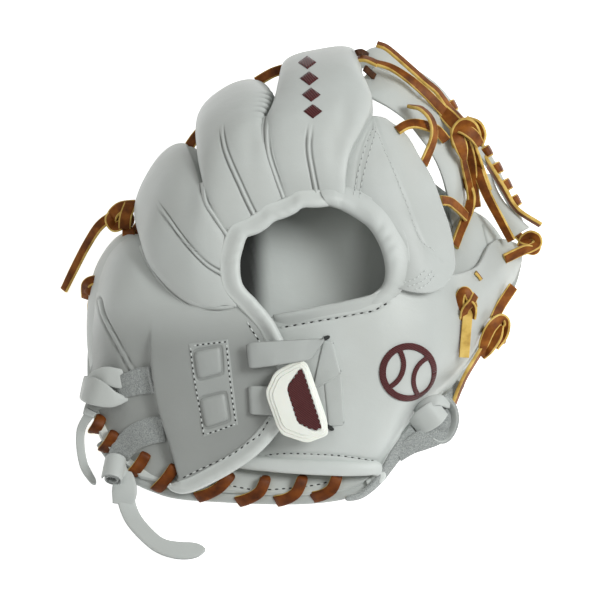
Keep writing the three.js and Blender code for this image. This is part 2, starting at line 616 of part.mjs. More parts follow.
// Suede thongs
const THONGS = {
  upper_thong: { wide: 11, rows: laidOn([[-72, -36, 2], [-80, -40, 2], [-87, -43, 2]]) },
  upper_thong_tail: { wide: 6, rows: [[-104, -55, -4], [-110, -66, -10], [-108.5, -82, -6], [-102.5, -93, -2]] },
  lower_thong: { wide: 13, rows: laidOn([[-68, -65, 2], [-80, -69, 2], [-90, -73, 2]]) },
  lower_thong_tail: {
    wide: 9,
    rows: [[-89, -92, 3.5], [-84, -108, 7], [-76, -118, 11], [-68.5, -123.5, 13.4], [-59, -125.5, 14.4], [-47, -125, 14.2]],
  },
  thumb_thong_tail: { wide: 6.5, rows: [[58, -65, 0], [48, -77, 6], [40, -89, 5], [31, -97, 7], [22.5, -99, 8.5]] },
};
for (const [name, { wide, rows }] of Object.entries(THONGS)) addStrip(name, { wide, thick: 2, rows }, SUEDE);

// The glove stands on the table with its origin under the middle of its box,
// which is measured without the free ends of the laces and thongs.
const FREE_ENDS = [
  "web_tail_long", "web_tail_short", "web_drop_lace", "web_thin_lace",
  "pinky_far_tail", "upper_thong_tail", "lower_thong_tail", "thumb_thong_tail",
];
glove.rotation.x = TILT;
glove.updateMatrixWorld(true);
const box = new THREE.Box3();
for (const mesh of glove.children) {
  if (!FREE_ENDS.includes(mesh.name)) box.union(new THREE.Box3().setFromObject(mesh, true));
}
const middle = box.getCenter(new THREE.Vector3());
glove.position.set(-middle.x, -middle.y, -box.min.z);

export default glove;
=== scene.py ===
# %% [markdown]
# # A softball glove lying palm down
#
# The glove is laid out in millimetres in the plane of the back of the wrist: across runs from the
# little finger to the thumb, up from the heel to the fingertips, and out away from the hand.
# The camera looks straight down on that plane, so a place on the photograph is a place on the
# back. One matrix then leans the whole layout into the frame, where the glove rests on a table.
# Measuring in the leaned frame itself would turn every place on the photograph into a sum.

# %% Load the frame
import math

import bmesh
import bpy
import numpy as np
from mathutils import Matrix, Vector
from mathutils.bvhtree import BVHTree


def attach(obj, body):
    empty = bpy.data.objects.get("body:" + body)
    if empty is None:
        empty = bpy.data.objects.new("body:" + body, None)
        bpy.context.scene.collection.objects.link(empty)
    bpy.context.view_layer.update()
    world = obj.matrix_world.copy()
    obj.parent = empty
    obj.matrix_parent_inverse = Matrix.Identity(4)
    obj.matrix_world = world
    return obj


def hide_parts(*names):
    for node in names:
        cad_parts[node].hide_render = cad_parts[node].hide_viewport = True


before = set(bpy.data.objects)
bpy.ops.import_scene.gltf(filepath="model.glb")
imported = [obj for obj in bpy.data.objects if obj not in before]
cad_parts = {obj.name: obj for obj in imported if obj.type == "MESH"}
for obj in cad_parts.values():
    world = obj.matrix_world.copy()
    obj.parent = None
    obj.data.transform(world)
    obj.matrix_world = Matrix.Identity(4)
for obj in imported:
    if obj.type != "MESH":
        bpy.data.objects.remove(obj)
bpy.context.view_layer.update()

MM = 0.001
TILT = math.radians(27)
SEAT = Vector((-6.10, -25.88, 43.40))
LEAN = Matrix.Rotation(TILT, 4, "X")
TO_FRAME = Matrix.Scale(MM, 4) @ Matrix.Translation(SEAT) @ LEAN
BACK_VIEW = Vector((0, 0, 1))

# %% [markdown]
# ## Camera, light and floor
#
# The photograph is 300 mm wide at the back of the glove. A camera that stood near would enlarge
# the fingers that rise towards it. A long lens from 3 m shows every depth at nearly one scale, so
# that places read from the photograph need no correction.

# %% Camera
VIEW_WIDTH = 300
VIEW_FAR = 3000
CLIP_END = 20


def make_camera():
    camera = bpy.data.objects.new("camera", bpy.data.cameras.new("camera"))
    bpy.context.collection.objects.link(camera)
    camera.data.angle = 2 * math.atan(VIEW_WIDTH / 2 / VIEW_FAR)
    camera.data.clip_end = CLIP_END
    camera.matrix_world = Matrix.Translation(TO_FRAME @ Vector((0, 0, VIEW_FAR))) @ LEAN
    bpy.context.scene.camera = camera


make_camera()
print("the camera sees", VIEW_WIDTH, "mm from a distance of", VIEW_FAR, "mm")

# %% [markdown]
# One broad lamp stands at the upper right, where the photograph's light comes from. Two weaker
# ones and a pale room keep the shadows soft, as the walls of a studio do.

# %% Lights
LIGHT_AIM = Vector((0, 0, 0.03))
LIGHTS = {
    "key": ((0.72, -0.15, 0.92), 0.42, 9.4, (0.985, 1.0, 0.995)),
    "top": ((-0.3, 0.75, 1.15), 0.7, 1.8, (1.0, 0.99, 0.96)),
    "fill": ((-0.45, -0.35, 1.2), 0.7, 1.7, (1.0, 1.0, 0.98)),
}
ROOM_TINT = (1, 0.99, 0.965, 1)
ROOM_STRENGTH = 0.31


def area_light(name, place, size, watts, tint):
    light = bpy.data.lights.new(name, "AREA")
    light.size = size
    light.energy = watts
    light.color = tint
    lamp = bpy.data.objects.new(name, light)
    bpy.context.collection.objects.link(lamp)
    lamp.location = place
    lamp.rotation_euler = (LIGHT_AIM - Vector(place)).to_track_quat("-Z", "Y").to_euler()


def make_room():
    world = bpy.data.worlds.new("studio")
    bpy.context.scene.world = world
    world.use_nodes = True
    background = world.node_tree.nodes["Background"]
    background.inputs["Color"].default_value = ROOM_TINT
    background.inputs["Strength"].default_value = ROOM_STRENGTH
    bpy.context.scene.view_settings.view_transform = "Standard"


for name, (place, size, watts, tint) in LIGHTS.items():
    area_light(name, place, size, watts, tint)
make_room()
print(len(LIGHTS), "lamps and a room of strength", ROOM_STRENGTH)

# %% Floor
FLOOR_HALF = 4


def make_floor():
    bm = bmesh.new()
    bmesh.ops.create_grid(bm, x_segments=4, y_segments=4, size=FLOOR_HALF)
    floor = bpy.data.objects.new("floor", bpy.data.meshes.new("floor"))
    bm.to_mesh(floor.data)
    bm.free()
    bpy.context.collection.objects.link(floor)
    return floor


floor = make_floor()
print("the floor is", 2 * FLOOR_HALF, "m wide")

# %% [markdown]
# ## Materials
#
# The glove is smooth grain leather with a soft shine, rough suede, rawhide that is darker where it
# was dyed deeper, rubber and woven cloth. A picture of each could be wrapped round the pieces.
# Here each finish is a principled surface with its grain, mottling and roughness from noise that
# is measured on the object itself, so it needs no unwrapping and has one scale on every piece.

# %% A finish


class Finish:
    """A principled material whose colour, roughness and bump come from noise."""

    def __init__(self, name, **sockets):
        self.material = bpy.data.materials.new(name)
        self.material.use_nodes = True
        self.nodes = self.material.node_tree.nodes
        self.links = self.material.node_tree.links
        self.shader = self.nodes["Principled BSDF"]
        for socket, value in sockets.items():
            self.shader.inputs[socket.replace("_", " ")].default_value = value
        self.coordinates = self.nodes.new("ShaderNodeTexCoord")

    def noise(self, scale, detail=3, stretch=(1, 1, 1)):
        mapping = self.nodes.new("ShaderNodeMapping")
        mapping.inputs["Scale"].default_value = stretch
        self.links.new(self.coordinates.outputs["Object"], mapping.inputs["Vector"])
        noise = self.nodes.new("ShaderNodeTexNoise")
        noise.inputs["Scale"].default_value = scale
        noise.inputs["Detail"].default_value = detail
        self.links.new(mapping.outputs["Vector"], noise.inputs["Vector"])
        return noise.outputs["Fac"]

    def cells(self, scale):
        cells = self.nodes.new("ShaderNodeTexVoronoi")
        cells.feature = "DISTANCE_TO_EDGE"
        cells.inputs["Scale"].default_value = scale
        self.links.new(self.coordinates.outputs["Object"], cells.inputs["Vector"])
        return cells.outputs["Distance"]

    def ramp(self, fac, stops):
        ramp = self.nodes.new("ShaderNodeValToRGB")
        for element, (place, colour) in zip(ramp.color_ramp.elements, (stops[0], stops[-1])):
            element.position = place
            element.color = (*colour, 1)
        for place, colour in stops[1:-1]:
            ramp.color_ramp.elements.new(place).color = (*colour, 1)
        self.links.new(fac, ramp.inputs["Fac"])
        return ramp.outputs["Color"]

    def paint(self, fac, stops):
        self.links.new(self.ramp(fac, stops), self.shader.inputs["Base Color"])

    def paint_with_shade(self, fac, stops, deepest):
        """The same, but darker by painted shade where the piece's attribute asks for it: in creases, and over
        some broader shaded places.
        """
        crease = self.nodes.new("ShaderNodeAttribute")
        crease.attribute_name = "painted_shade"
        mix = self.nodes.new("ShaderNodeMix")
        mix.data_type = "RGBA"
        mix.inputs["B"].default_value = (*deepest, 1)
        self.links.new(crease.outputs["Fac"], mix.inputs["Factor"])
        self.links.new(self.ramp(fac, stops), mix.inputs["A"])
        self.links.new(mix.outputs["Result"], self.shader.inputs["Base Color"])

    def polish(self, fac, low, high):
        levels = self.nodes.new("ShaderNodeMapRange")
        levels.inputs["To Min"].default_value = low
        levels.inputs["To Max"].default_value = high
        self.links.new(fac, levels.inputs["Value"])
        self.links.new(levels.outputs["Result"], self.shader.inputs["Roughness"])

    def relief(self, height, depth_mm, after=None):
        bump = self.nodes.new("ShaderNodeBump")
        bump.inputs["Distance"].default_value = depth_mm * MM
        self.links.new(height, bump.inputs["Height"])
        if after:
            self.links.new(after, bump.inputs["Normal"])
        return bump.outputs["Normal"]

    def finish_relief(self, normal):
        self.links.new(normal, self.shader.inputs["Normal"])


# %% [markdown]
# Leather has three sizes of pattern: broad mottling in its colour, faint creases, and a fine grain of small
# cells. Where the skin is drawn into a crease, less light gets in, so that shade is painted into the colour.
# Each piece says where in an attribute, because the material alone would not know where the creases are. Some
# pieces paint broader shade through the same attribute.

# %% Leather


def grey(value, warm=0.0):
    """A grey of the glove. A little warmth moves it from blue towards red."""
    return (value * (0.965 + warm), value, value * (0.95 - warm))


def leather_finish(name, light, rough, mottle=0.04, grain=0.05, deep=0.3):
    finish = Finish(name, Specular_IOR_Level=0.42, Sheen_Weight=0.06, Sheen_Roughness=0.5)
    dark, pale = grey(light * (1 - mottle), -0.012), grey(light * (1 + mottle), -0.022)
    # Painted shade darkens the colour towards deep times its light, as far as the piece's attribute asks.
    finish.paint_with_shade(finish.noise(28, detail=4), [(0.3, dark), (0.7, pale)], grey(light * deep))
    finish.polish(finish.noise(60), rough - 0.06, rough + 0.08)
    creases = finish.relief(finish.noise(90, detail=4, stretch=(1, 1.6, 1)), 0.25)
    finish.finish_relief(finish.relief(finish.cells(1500), grain, creases))
    return finish.material


# %% [markdown]
# Suede is the flesh side of a hide. Its nap stands up in short fibres, so it is dull, speckled and
# catches light at its edges, which the sheen gives. Rawhide takes its dye unevenly, and a single
# brown would look like plastic, so three browns in one ramp follow coarse noise.

# %% Suede and rawhide


def suede_finish(name, light, nap):
    finish = Finish(name, Specular_IOR_Level=0.2, Sheen_Weight=0.35, Sheen_Roughness=0.6)
    finish.paint(
        finish.noise(1700, detail=5),
        [(0.36, grey(light * 0.74, -0.03)), (0.5, grey(light, -0.03)), (0.66, grey(light * 1.3, -0.02))],
    )
    finish.polish(finish.noise(300), 0.85, 0.98)
    finish.finish_relief(finish.relief(finish.noise(1400, detail=6), nap))
    return finish.material


def rawhide_finish(name, dark, mid, pale, rough):
    finish = Finish(name, Specular_IOR_Level=0.22)
    dye = finish.noise(140, detail=5, stretch=(1, 1, 1.5))
    finish.paint(dye, [(0.25, dark), (0.5, mid), (0.78, pale)])
    finish.polish(finish.noise(220), rough - 0.08, rough + 0.14)
    finish.finish_relief(finish.relief(finish.noise(700, detail=5), 0.12))
    return finish.material


# %% Rubber, weave and floor


def rubber_finish():
    finish = Finish("pull rubber", Specular_IOR_Level=0.5, Subsurface_Weight=0.05)
    finish.paint(finish.noise(40), [(0.3, (0.80, 0.81, 0.74)), (0.7, (0.89, 0.90, 0.84))])
    finish.polish(finish.noise(200), 0.32, 0.46)
    finish.finish_relief(finish.relief(finish.noise(500), 0.05))
    return finish.material


def woven_finish(name, dark, pale, threads):
    finish = Finish(name, Specular_IOR_Level=0.35, Sheen_Weight=0.3, Sheen_Roughness=0.4)
    wave = finish.nodes.new("ShaderNodeTexWave")
    wave.wave_type = "BANDS"
    wave.bands_direction = "DIAGONAL"
    wave.inputs["Scale"].default_value = threads
    wave.inputs["Distortion"].default_value = 1.2
    finish.links.new(finish.coordinates.outputs["Object"], wave.inputs["Vector"])
    finish.paint(wave.outputs["Fac"], [(0.2, dark), (0.8, pale)])
    finish.polish(finish.noise(400), 0.6, 0.8)
    finish.finish_relief(finish.relief(wave.outputs["Fac"], 0.2))
    return finish.material


def floor_finish():
    finish = Finish("studio floor", Specular_IOR_Level=0.2, Emission_Strength=0.75)
    finish.shader.inputs["Emission Color"].default_value = (1, 1, 1, 1)
    finish.paint(finish.noise(6, detail=2), [(0.4, (0.88, 0.88, 0.88)), (0.6, (0.9, 0.9, 0.9))])
    finish.polish(finish.noise(30, detail=2), 0.7, 0.8)
    return finish.material


# %% The glove's own finishes
SKIN = leather_finish("back leather", 0.52, 0.46)
# The lining's painted shade goes nearly black, for the deep shade down in the hand hole.
LINING = leather_finish("palm lining", 0.68, 0.66, mottle=0.05, grain=0.03, deep=0.04)
# Painted light: the back leather made lighter, standing in for brighter light on the hand hole's left rim,
# the wrist roll and the thumb side.
SKIN_PAINTED_LIGHTER = leather_finish("back leather painted lighter", 0.60, 0.46)
SOFT = leather_finish("thong leather", 0.51, 0.5, mottle=0.05)
STRAP_SKIN = leather_finish("strap leather", 0.41, 0.5, mottle=0.05)
SUEDE = suede_finish("suede", 0.31, 0.25)
TAN = rawhide_finish("lace grain", (0.06, 0.014, 0.0015), (0.18, 0.05, 0.004), (0.34, 0.115, 0.014), 0.5)
HEEL_TAN = rawhide_finish(
    "heel lace grain", (0.042, 0.009, 0.0008), (0.13, 0.031, 0.002), (0.22, 0.06, 0.005), 0.5
)
# Painted shade: the lace grain made darker, for bits of lace that lie in shade.
TAN_IN_PAINTED_SHADE = rawhide_finish(
    "lace in painted shade", (0.02, 0.007, 0.002), (0.055, 0.018, 0.005), (0.11, 0.036, 0.009), 0.6
)
FLESH = rawhide_finish("lace edge", (0.30, 0.16, 0.03), (0.60, 0.40, 0.10), (0.80, 0.60, 0.20), 0.7)
RUBBER = rubber_finish()
MAROON = woven_finish("maroon weave", (0.045, 0.006, 0.007), (0.10, 0.015, 0.016), 420)
THREAD = leather_finish("thread", 0.58, 0.6, grain=0.02)
# Painted shade: dark beads stand for the shade inside needle holes and slots, and the faint ones are less
# dark.
HOLE_PAINTED_SHADE = leather_finish("needle hole", 0.035, 0.9, grain=0.02)
FAINT_HOLE_PAINTED_SHADE = leather_finish("faint needle hole", 0.29, 0.9, grain=0.02)
floor.data.materials.append(floor_finish())
print("finishes:", ", ".join(material.name for material in bpy.data.materials))

# %% [markdown]
# ## Making skins
#
# The leather of a real glove is cut flat and sewn into shape. It could be sculpted freely, but a
# table of measured points is easier to correct each time that it is set against the photograph.
# So a skin is a grid: it starts as Blender's own grid, and each vertex then moves to its place on
# a smooth surface through the table. The wall is a Solidify modifier that grows inwards. Outer
# skins are also kept for laying things on.

# %% Reading tables smoothly


def smooth_rows(rows, places):
    """Rows of numbers read smoothly at places from 0 to 1."""
    rows = np.asarray(rows, float)
    last = len(rows) - 1
    at = np.clip(np.asarray(places, float) * last, 0, last - 1e-9)
    i = at.astype(int)
    f = (at - i).reshape(-1, *[1] * (rows.ndim - 1))
    before, start = rows[np.maximum(i - 1, 0)], rows[i]
    end, after = rows[i + 1], rows[np.minimum(i + 2, last)]
    first, final = (i == 0).reshape(f.shape), (i + 1 == last).reshape(f.shape)
    leave = np.where(first, end - start, (end - before) / 2)
    arrive = np.where(final, end - start, (after - start) / 2)
    return (
        start * (2 * f**3 - 3 * f**2 + 1)
        + leave * (f**3 - 2 * f**2 + f)
        + end * (3 * f**2 - 2 * f**3)
        + arrive * (f**3 - f**2)
    )


def spread(count):
    """Even places from 0 to 1, one more than the number of steps."""
    return np.linspace(0, 1, count + 1)


def run_along(line):
    """How far along a line of points each point lies."""
    return np.concatenate([[0], np.cumsum(np.linalg.norm(np.diff(line, axis=0), axis=1))])


def unit(vectors):
    return vectors / np.maximum(np.linalg.norm(vectors, axis=-1, keepdims=True), 1e-9)


def grid_normals(points, closed):
    """Normals of a grid of points. A closed grid's last column repeats its first."""
    along = np.gradient(points, axis=0)
    if closed:
        ring = points[:, :-1]
        across = np.roll(ring, -1, axis=1) - np.roll(ring, 1, axis=1)
        across = np.concatenate([across, across[:, :1]], axis=1)
    else:
        across = np.gradient(points, axis=1)
    return unit(np.cross(across, along))


print("0, 4 and 0 read smoothly a quarter of the way along give", smooth_rows([0, 4, 0], [0.25])[0])

# %% A grid as a mesh


def grid_mesh(points, closed=False, caps=False, paint=None, creases=None):
    """A bmesh on a grid of points, still in millimetres on the layout."""
    steps, columns = points.shape[0] - 1, points.shape[1] - 1
    bm = bmesh.new()
    layer = bm.verts.layers.float.new("painted_shade")
    bmesh.ops.create_grid(bm, x_segments=columns, y_segments=steps, size=1, calc_uvs=True)
    if paint:
        for face in bm.faces:
            middle = face.calc_center_median()
            face.material_index = paint((middle.x + 1) / 2)
    for vert in bm.verts:
        i = round((vert.co.y + 1) / 2 * steps)
        j = round((vert.co.x + 1) / 2 * columns)
        vert.co = points[i, j]
        vert[layer] = 0 if creases is None else creases[i, j]
    if closed:
        bmesh.ops.remove_doubles(bm, verts=bm.verts, dist=1e-3)
    if caps:
        rims = [edge for edge in bm.edges if edge.is_boundary]
        for face in bmesh.ops.holes_fill(bm, edges=rims, sides=0)["faces"]:
            face.material_index = 1 if paint else 0
    return bm


# %% Finishing a piece
TABLE_GAP = 0.3
FACES_DOWN = -0.05
outer_surfaces = {}


def finish_piece(name, bm, materials, slot, nodes=(), wall=0.0, smooth=True, lay_on=False):
    """Turns a bmesh of the layout into a piece of the frame."""
    bmesh.ops.transform(bm, matrix=TO_FRAME, verts=bm.verts)
    bm.normal_update()
    for vert in bm.verts:
        under = wall if vert.normal.z > FACES_DOWN else 0
        vert.co.z = max(vert.co.z, (TABLE_GAP + under) * MM)
    if lay_on:
        bmesh.ops.transform(bm, matrix=TO_FRAME.inverted(), verts=bm.verts)
        bm.normal_update()
        outer_surfaces[name] = BVHTree.FromBMesh(bm)
        bmesh.ops.transform(bm, matrix=TO_FRAME, verts=bm.verts)
    for face in bm.faces:
        face.smooth = smooth and len(face.verts) < 5
    name += "_soft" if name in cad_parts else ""
    print(name, "has", len(bm.faces), "faces")
    piece = bpy.data.objects.new(name, bpy.data.meshes.new(name))
    bm.to_mesh(piece.data)
    bm.free()
    bpy.context.collection.objects.link(piece)
    for material in materials:
        piece.data.materials.append(material)
    if wall:
        solid = piece.modifiers.new("wall", "SOLIDIFY")
        solid.thickness = wall * MM
        solid.offset = -1
        solid.material_offset = len(materials) - 1
    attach(piece, "root")
    if nodes:
        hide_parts(*nodes)
    return piece


def face_out(bm):
    """Turns an open sheet so that most of it faces away from the hand."""
    bm.normal_update()
    if sum(face.normal.dot(BACK_VIEW) * face.calc_area() for face in bm.faces) < 0:
        bmesh.ops.reverse_faces(bm, faces=bm.faces)


# %% [markdown]
# ## Relief
#
# A welt is leather pulled over a cord, and a seam is leather drawn down by thread. Both could be
# tubes laid on top, but a tube has a hard edge. Here the skin itself moves along its normals, by
# how far each point lies from the route of the welt or seam, and so it stays in one piece.

# %% Relief profiles
ROUTE_STEPS = 90
WELT_HIGH = 0.5
WELT_HALF = 1.35


def bell(distance, reach):
    """A smooth bump that is 1 in its middle and has nearly gone at twice its reach."""
    return np.exp(-((distance / reach) ** 2))


def eased(share):
    """A share from 0 to 1 that starts and stops gently."""
    return share**2 * (3 - 2 * share)


def distance_to(points, route):
    """Distance from each point to a route, both seen from straight above the back."""
    line = smooth_rows(route, spread(ROUTE_STEPS))[:, :2]
    flat = points[..., :2].reshape(-1, 1, 2)
    start, leg = line[:-1], np.diff(line, axis=0)
    share = np.clip(((flat - start) * leg).sum(-1) / (leg**2).sum(-1), 0, 1)
    gap = flat - (start + share[..., None] * leg)
    return np.sqrt((gap**2).sum(-1)).min(axis=1).reshape(points.shape[:-1])


def welt_profile(distance):
    """A cord under the leather, between two grooves that lie half the width from its middle."""
    pipe = WELT_HIGH * bell(distance, 0.62 * WELT_HALF)
    return pipe - 1.6 * WELT_HIGH * bell(distance - WELT_HALF, 0.45)


# How much shade is painted into the grooves beside a welt's cord.
def welt_creases(distance):
    return bell(distance - WELT_HALF, 0.4)


def groove_profile(distance, deep, half):
    return -deep * bell(distance, half)


print("a welt stands", round(float(welt_profile(np.zeros(1))[0]), 2), "mm high in its middle")

# %% Panels


def panel_points(rows, steps, columns):
    """A grid through a table whose rows are lines of points."""
    lines = smooth_rows(rows, spread(steps))
    return smooth_rows(lines.transpose(1, 0, 2), spread(columns)).transpose(1, 0, 2)


def out_normals(points):
    """Normals of an open sheet, turned away from the hand."""
    normals = grid_normals(points, False)
    return -normals if normals[..., 2].mean() < 0 else normals


def panel(name, rows, size, wall, relief, nodes=(), skin=SKIN):
    points = panel_points(rows, *size)
    across = np.broadcast_to(spread(size[1]), points.shape[:2])
    lift, creases = relief(points, across)
    bm = grid_mesh(points + out_normals(points) * lift[..., None], creases=creases)
    face_out(bm)
    return finish_piece(name, bm, [skin, LINING], "leather", nodes, wall, lay_on=True)


# %% [markdown]
# ## Laces, thongs and free ends
#
# A lace is cut from a hide. Its face is tanned brown and its cut edges stay the pale colour of
# the flesh side. A curve with a bevelled profile could draw it, but such a curve twists where it
# likes. Here one flat section is swept along a route, and a turn in degrees says how it twists.

# %% Ribbon helpers
SECTION = 20
CUT_EDGE = 0.05


def along_route(values, steps):
    """One value, or a few, read at every step of a route."""
    values = np.atleast_1d(np.asarray(values, float))
    if len(values) == steps + 1:
        return values
    return np.full(steps + 1, values[0]) if len(values) == 1 else smooth_rows(values, spread(steps))


def squared(values, power):
    """Sines or cosines pushed outwards, so that a circle becomes a box with round corners."""
    return np.sign(values) * np.abs(values) ** (2 / power)


def ribbon_mesh(route, wide, thick, turn=0, up=BACK_VIEW, steps=60, power=5.0, closed=False, bare=CUT_EDGE):
    """A flat section swept along a route. The turn is in degrees, and bare is the edge's share."""
    route = np.asarray(route, float)
    if closed:
        legs = len(route) + 3
        route = np.concatenate([route[-3:-1], route, route[1:3]])
        places = (2 + spread(steps) * (legs - 4)) / legs
        line = smooth_rows(route, places)
        along = unit(smooth_rows(route, places + 1e-3) - smooth_rows(route, places - 1e-3))
    else:
        line = smooth_rows(route, spread(steps))
        along = unit(np.gradient(line, axis=0))
    up = np.broadcast_to(np.asarray(up, float), line.shape)
    side = unit(np.cross(along, up))
    face = np.cross(side, along)
    turn = np.radians(along_route(turn, steps))[:, None]
    side, face = side * np.cos(turn) + face * np.sin(turn), face * np.cos(turn) - side * np.sin(turn)
    angle = 2 * np.pi * spread(SECTION)
    out, rise = squared(np.cos(angle), power), squared(np.sin(angle), power)
    wide, thick = (along_route(size, steps)[:, None, None] / 2 for size in (wide, thick))
    points = line[:, None] + side[:, None] * out[:, None] * wide + face[:, None] * rise[:, None] * thick
    points[:, -1] = points[:, 0]
    if closed:
        points[-1] = points[0]

    def paint(around):
        return 0 if bare < around < 0.5 - bare else 1

    bm = grid_mesh(points, closed=True, caps=not closed, paint=paint)
    bmesh.ops.recalc_face_normals(bm, faces=bm.faces)
    return bm


def joined(parts):
    """Several bmeshes as one."""
    whole = bmesh.new()
    for part in parts:
        mesh = bpy.data.meshes.new("part")
        part.to_mesh(mesh)
        part.free()
        whole.from_mesh(mesh)
        bpy.data.meshes.remove(mesh)
    return whole


# %% Kinds of band
LACE_BARE = 0.13
LACE = {"materials": (TAN, FLESH), "slot": "rawhide", "bare": LACE_BARE}
THONG = {"materials": (SOFT, SUEDE), "slot": "suede"}
ROUGH_THONG = {"materials": (SUEDE, SUEDE), "slot": "suede"}


def ribbon(name, route, wide, thick, kind, nodes=(), **shape):
    bm = ribbon_mesh(route, wide, thick, bare=kind.get("bare", CUT_EDGE), **shape)
    return finish_piece(name, bm, kind["materials"], kind["slot"], nodes)


# %% [markdown]
# The free ends hang from their knots and rest on the table where they reach it. They could be
# dropped with a simulation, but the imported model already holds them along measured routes, so the
# scene uses the same routes and they come before every other piece. A lace that nears the table
# turns its flat side up.

# %% Routes of the free ends
LACE_WIDE = 6
LACE_SHOWN = 5.2
FREE_SHOWN = (5.6, 5.3, 4.9, 4.6, 4.4)
LACE_THICK = 2
FREE_LACES = {
    "web_tail_long": (
        [(79, 88.8, -29), (71.6, 96, -25), (64, 103.6, -21.6), (55.4, 110.9, -20), (46, 116.9, -19.4),
         (37.4, 119.6, -20)],
        (-5, -10, -16, -28, -46, -60),
    ),
    "web_tail_short": (
        [(84, 88, -33), (79.8, 92.6, -36), (75.8, 96.8, -37), (72.6, 101.4, -37), (69, 106, -36),
         (63.6, 110.4, -35), (56.6, 116.6, -34), (49.6, 122.8, -34), (43.6, 127.6, -33), (38.8, 129.4, -33)],
        (-52, -56, -58, -56, -56, -58),
    ),
    "web_drop_lace": (
        [(88.6, 70, -34), (91.4, 61, -33.5), (95, 52.4, -33), (100.4, 42, -31), (107, 30, -33)],
        (-12, -14, -22, -30),
    ),
    "web_thin_lace": (
        [(94, 72, -56), (103, 57, -43), (110, 46, -42), (122, 38, -44)],
        (-68, -72, -68),
    ),
    "pinky_far_tail": (
        [(-92, 44, -34), (-101, 38, -35), (-108, 28, -40), (-115, 15, -46), (-120, 5, -50)],
        (-25, -30, -20),
    ),
}
FREE_THONGS = {
    "upper_thong_tail": (
        [(-104, -55, -4), (-110, -66, -10), (-108.5, -82, -6), (-102.5, -93, -2)],
        6,
        (5.6, 4.6, 4.4, 4.4, 4.2, 3),
    ),
    "lower_thong_tail": (
        [(-89, -92, 3.5), (-84, -108, 7), (-76, -118, 11), (-68.5, -123.5, 13.4), (-59, -125.5, 14.4),
         (-47, -125, 14.2)],
        9,
        (9, 8.8, 8.6, 8.4, 8.2, 8.2, 8.4, 9, 9.4, 8.6, 4.5),
    ),
    "thumb_thong_tail": (
        [(58, -65, 0), (48, -77, 6), (40, -89, 5), (31, -97, 7), (22.5, -99, 8.5)],
        6.5,
        (8, 7, 5.4, 4, 3),
    ),
}
THONG_THICK = 2
THUMB_TAIL_TURN = (185, 205, 230, 240, 232)

# %% Free ends
TABLE_UP = np.array([0, math.sin(TILT), math.cos(TILT)])
REST_GAP = 0.15
FLAT_FROM = 9
FLAT_OVER = 6
FREE_STEPS = 50
ROUND_SHARE = 0.07


def rested(line, thick):
    """Lifts a route that would sink into the table, and says which way its flat side looks."""
    height = line @ TABLE_UP + SEAT.z
    line = line + np.maximum(thick / 2 + REST_GAP - height, 0)[:, None] * TABLE_UP
    near = np.clip((FLAT_FROM - height) / FLAT_OVER, 0, 1)[:, None]
    return line, unit(near * TABLE_UP + (1 - near) * np.array(BACK_VIEW))


def rounded_end(shown, steps):
    """Widths along a thong whose last part is cut round."""
    left = np.clip((1 - spread(steps)) / ROUND_SHARE, 0.02, 1)
    return along_route(shown, steps) * np.sqrt(1 - (1 - left) ** 2)


def free_end(name, route, wide, shown, thick, turn, kind):
    line, up = rested(smooth_rows(route, spread(FREE_STEPS)), thick)
    if kind is THONG:
        shown = rounded_end(shown, FREE_STEPS)
    piece = ribbon(name, line, shown, thick, kind, [name], turn=turn, up=up, steps=FREE_STEPS)
    path = [TO_FRAME @ Vector(point) for point in line[::2]]
    length = sum((b - a).length for a, b in zip(path, path[1:]))
    tuple(path[0])
    [tuple(point) for point in path]
    print(name, "is", round(length / MM), "mm long")


for name, (route, turn) in FREE_LACES.items():
    free_end(name, route, LACE_WIDE, FREE_SHOWN, LACE_THICK, turn, LACE)
for name, (route, wide, shown) in FREE_THONGS.items():
    turn = THUMB_TAIL_TURN if name == "thumb_thong_tail" else 0
    free_end(name, route, wide, shown, THONG_THICK, turn, THONG)

# %% [markdown]
# ## Finger stalls
#
# A stall is the leather sleeve round one finger. A bent tube would be round all the way, but a
# real one is flat near the hand hole, where the fingers share one skin, and round at its tip. So
# each row is one section, from the hand hole to the tip: its left and right edges, the height of
# its crown, the depth of its belly, and how square the crown is. The route of the middle welt is
# given as it is seen from above, and each section looks up where that route crosses it.

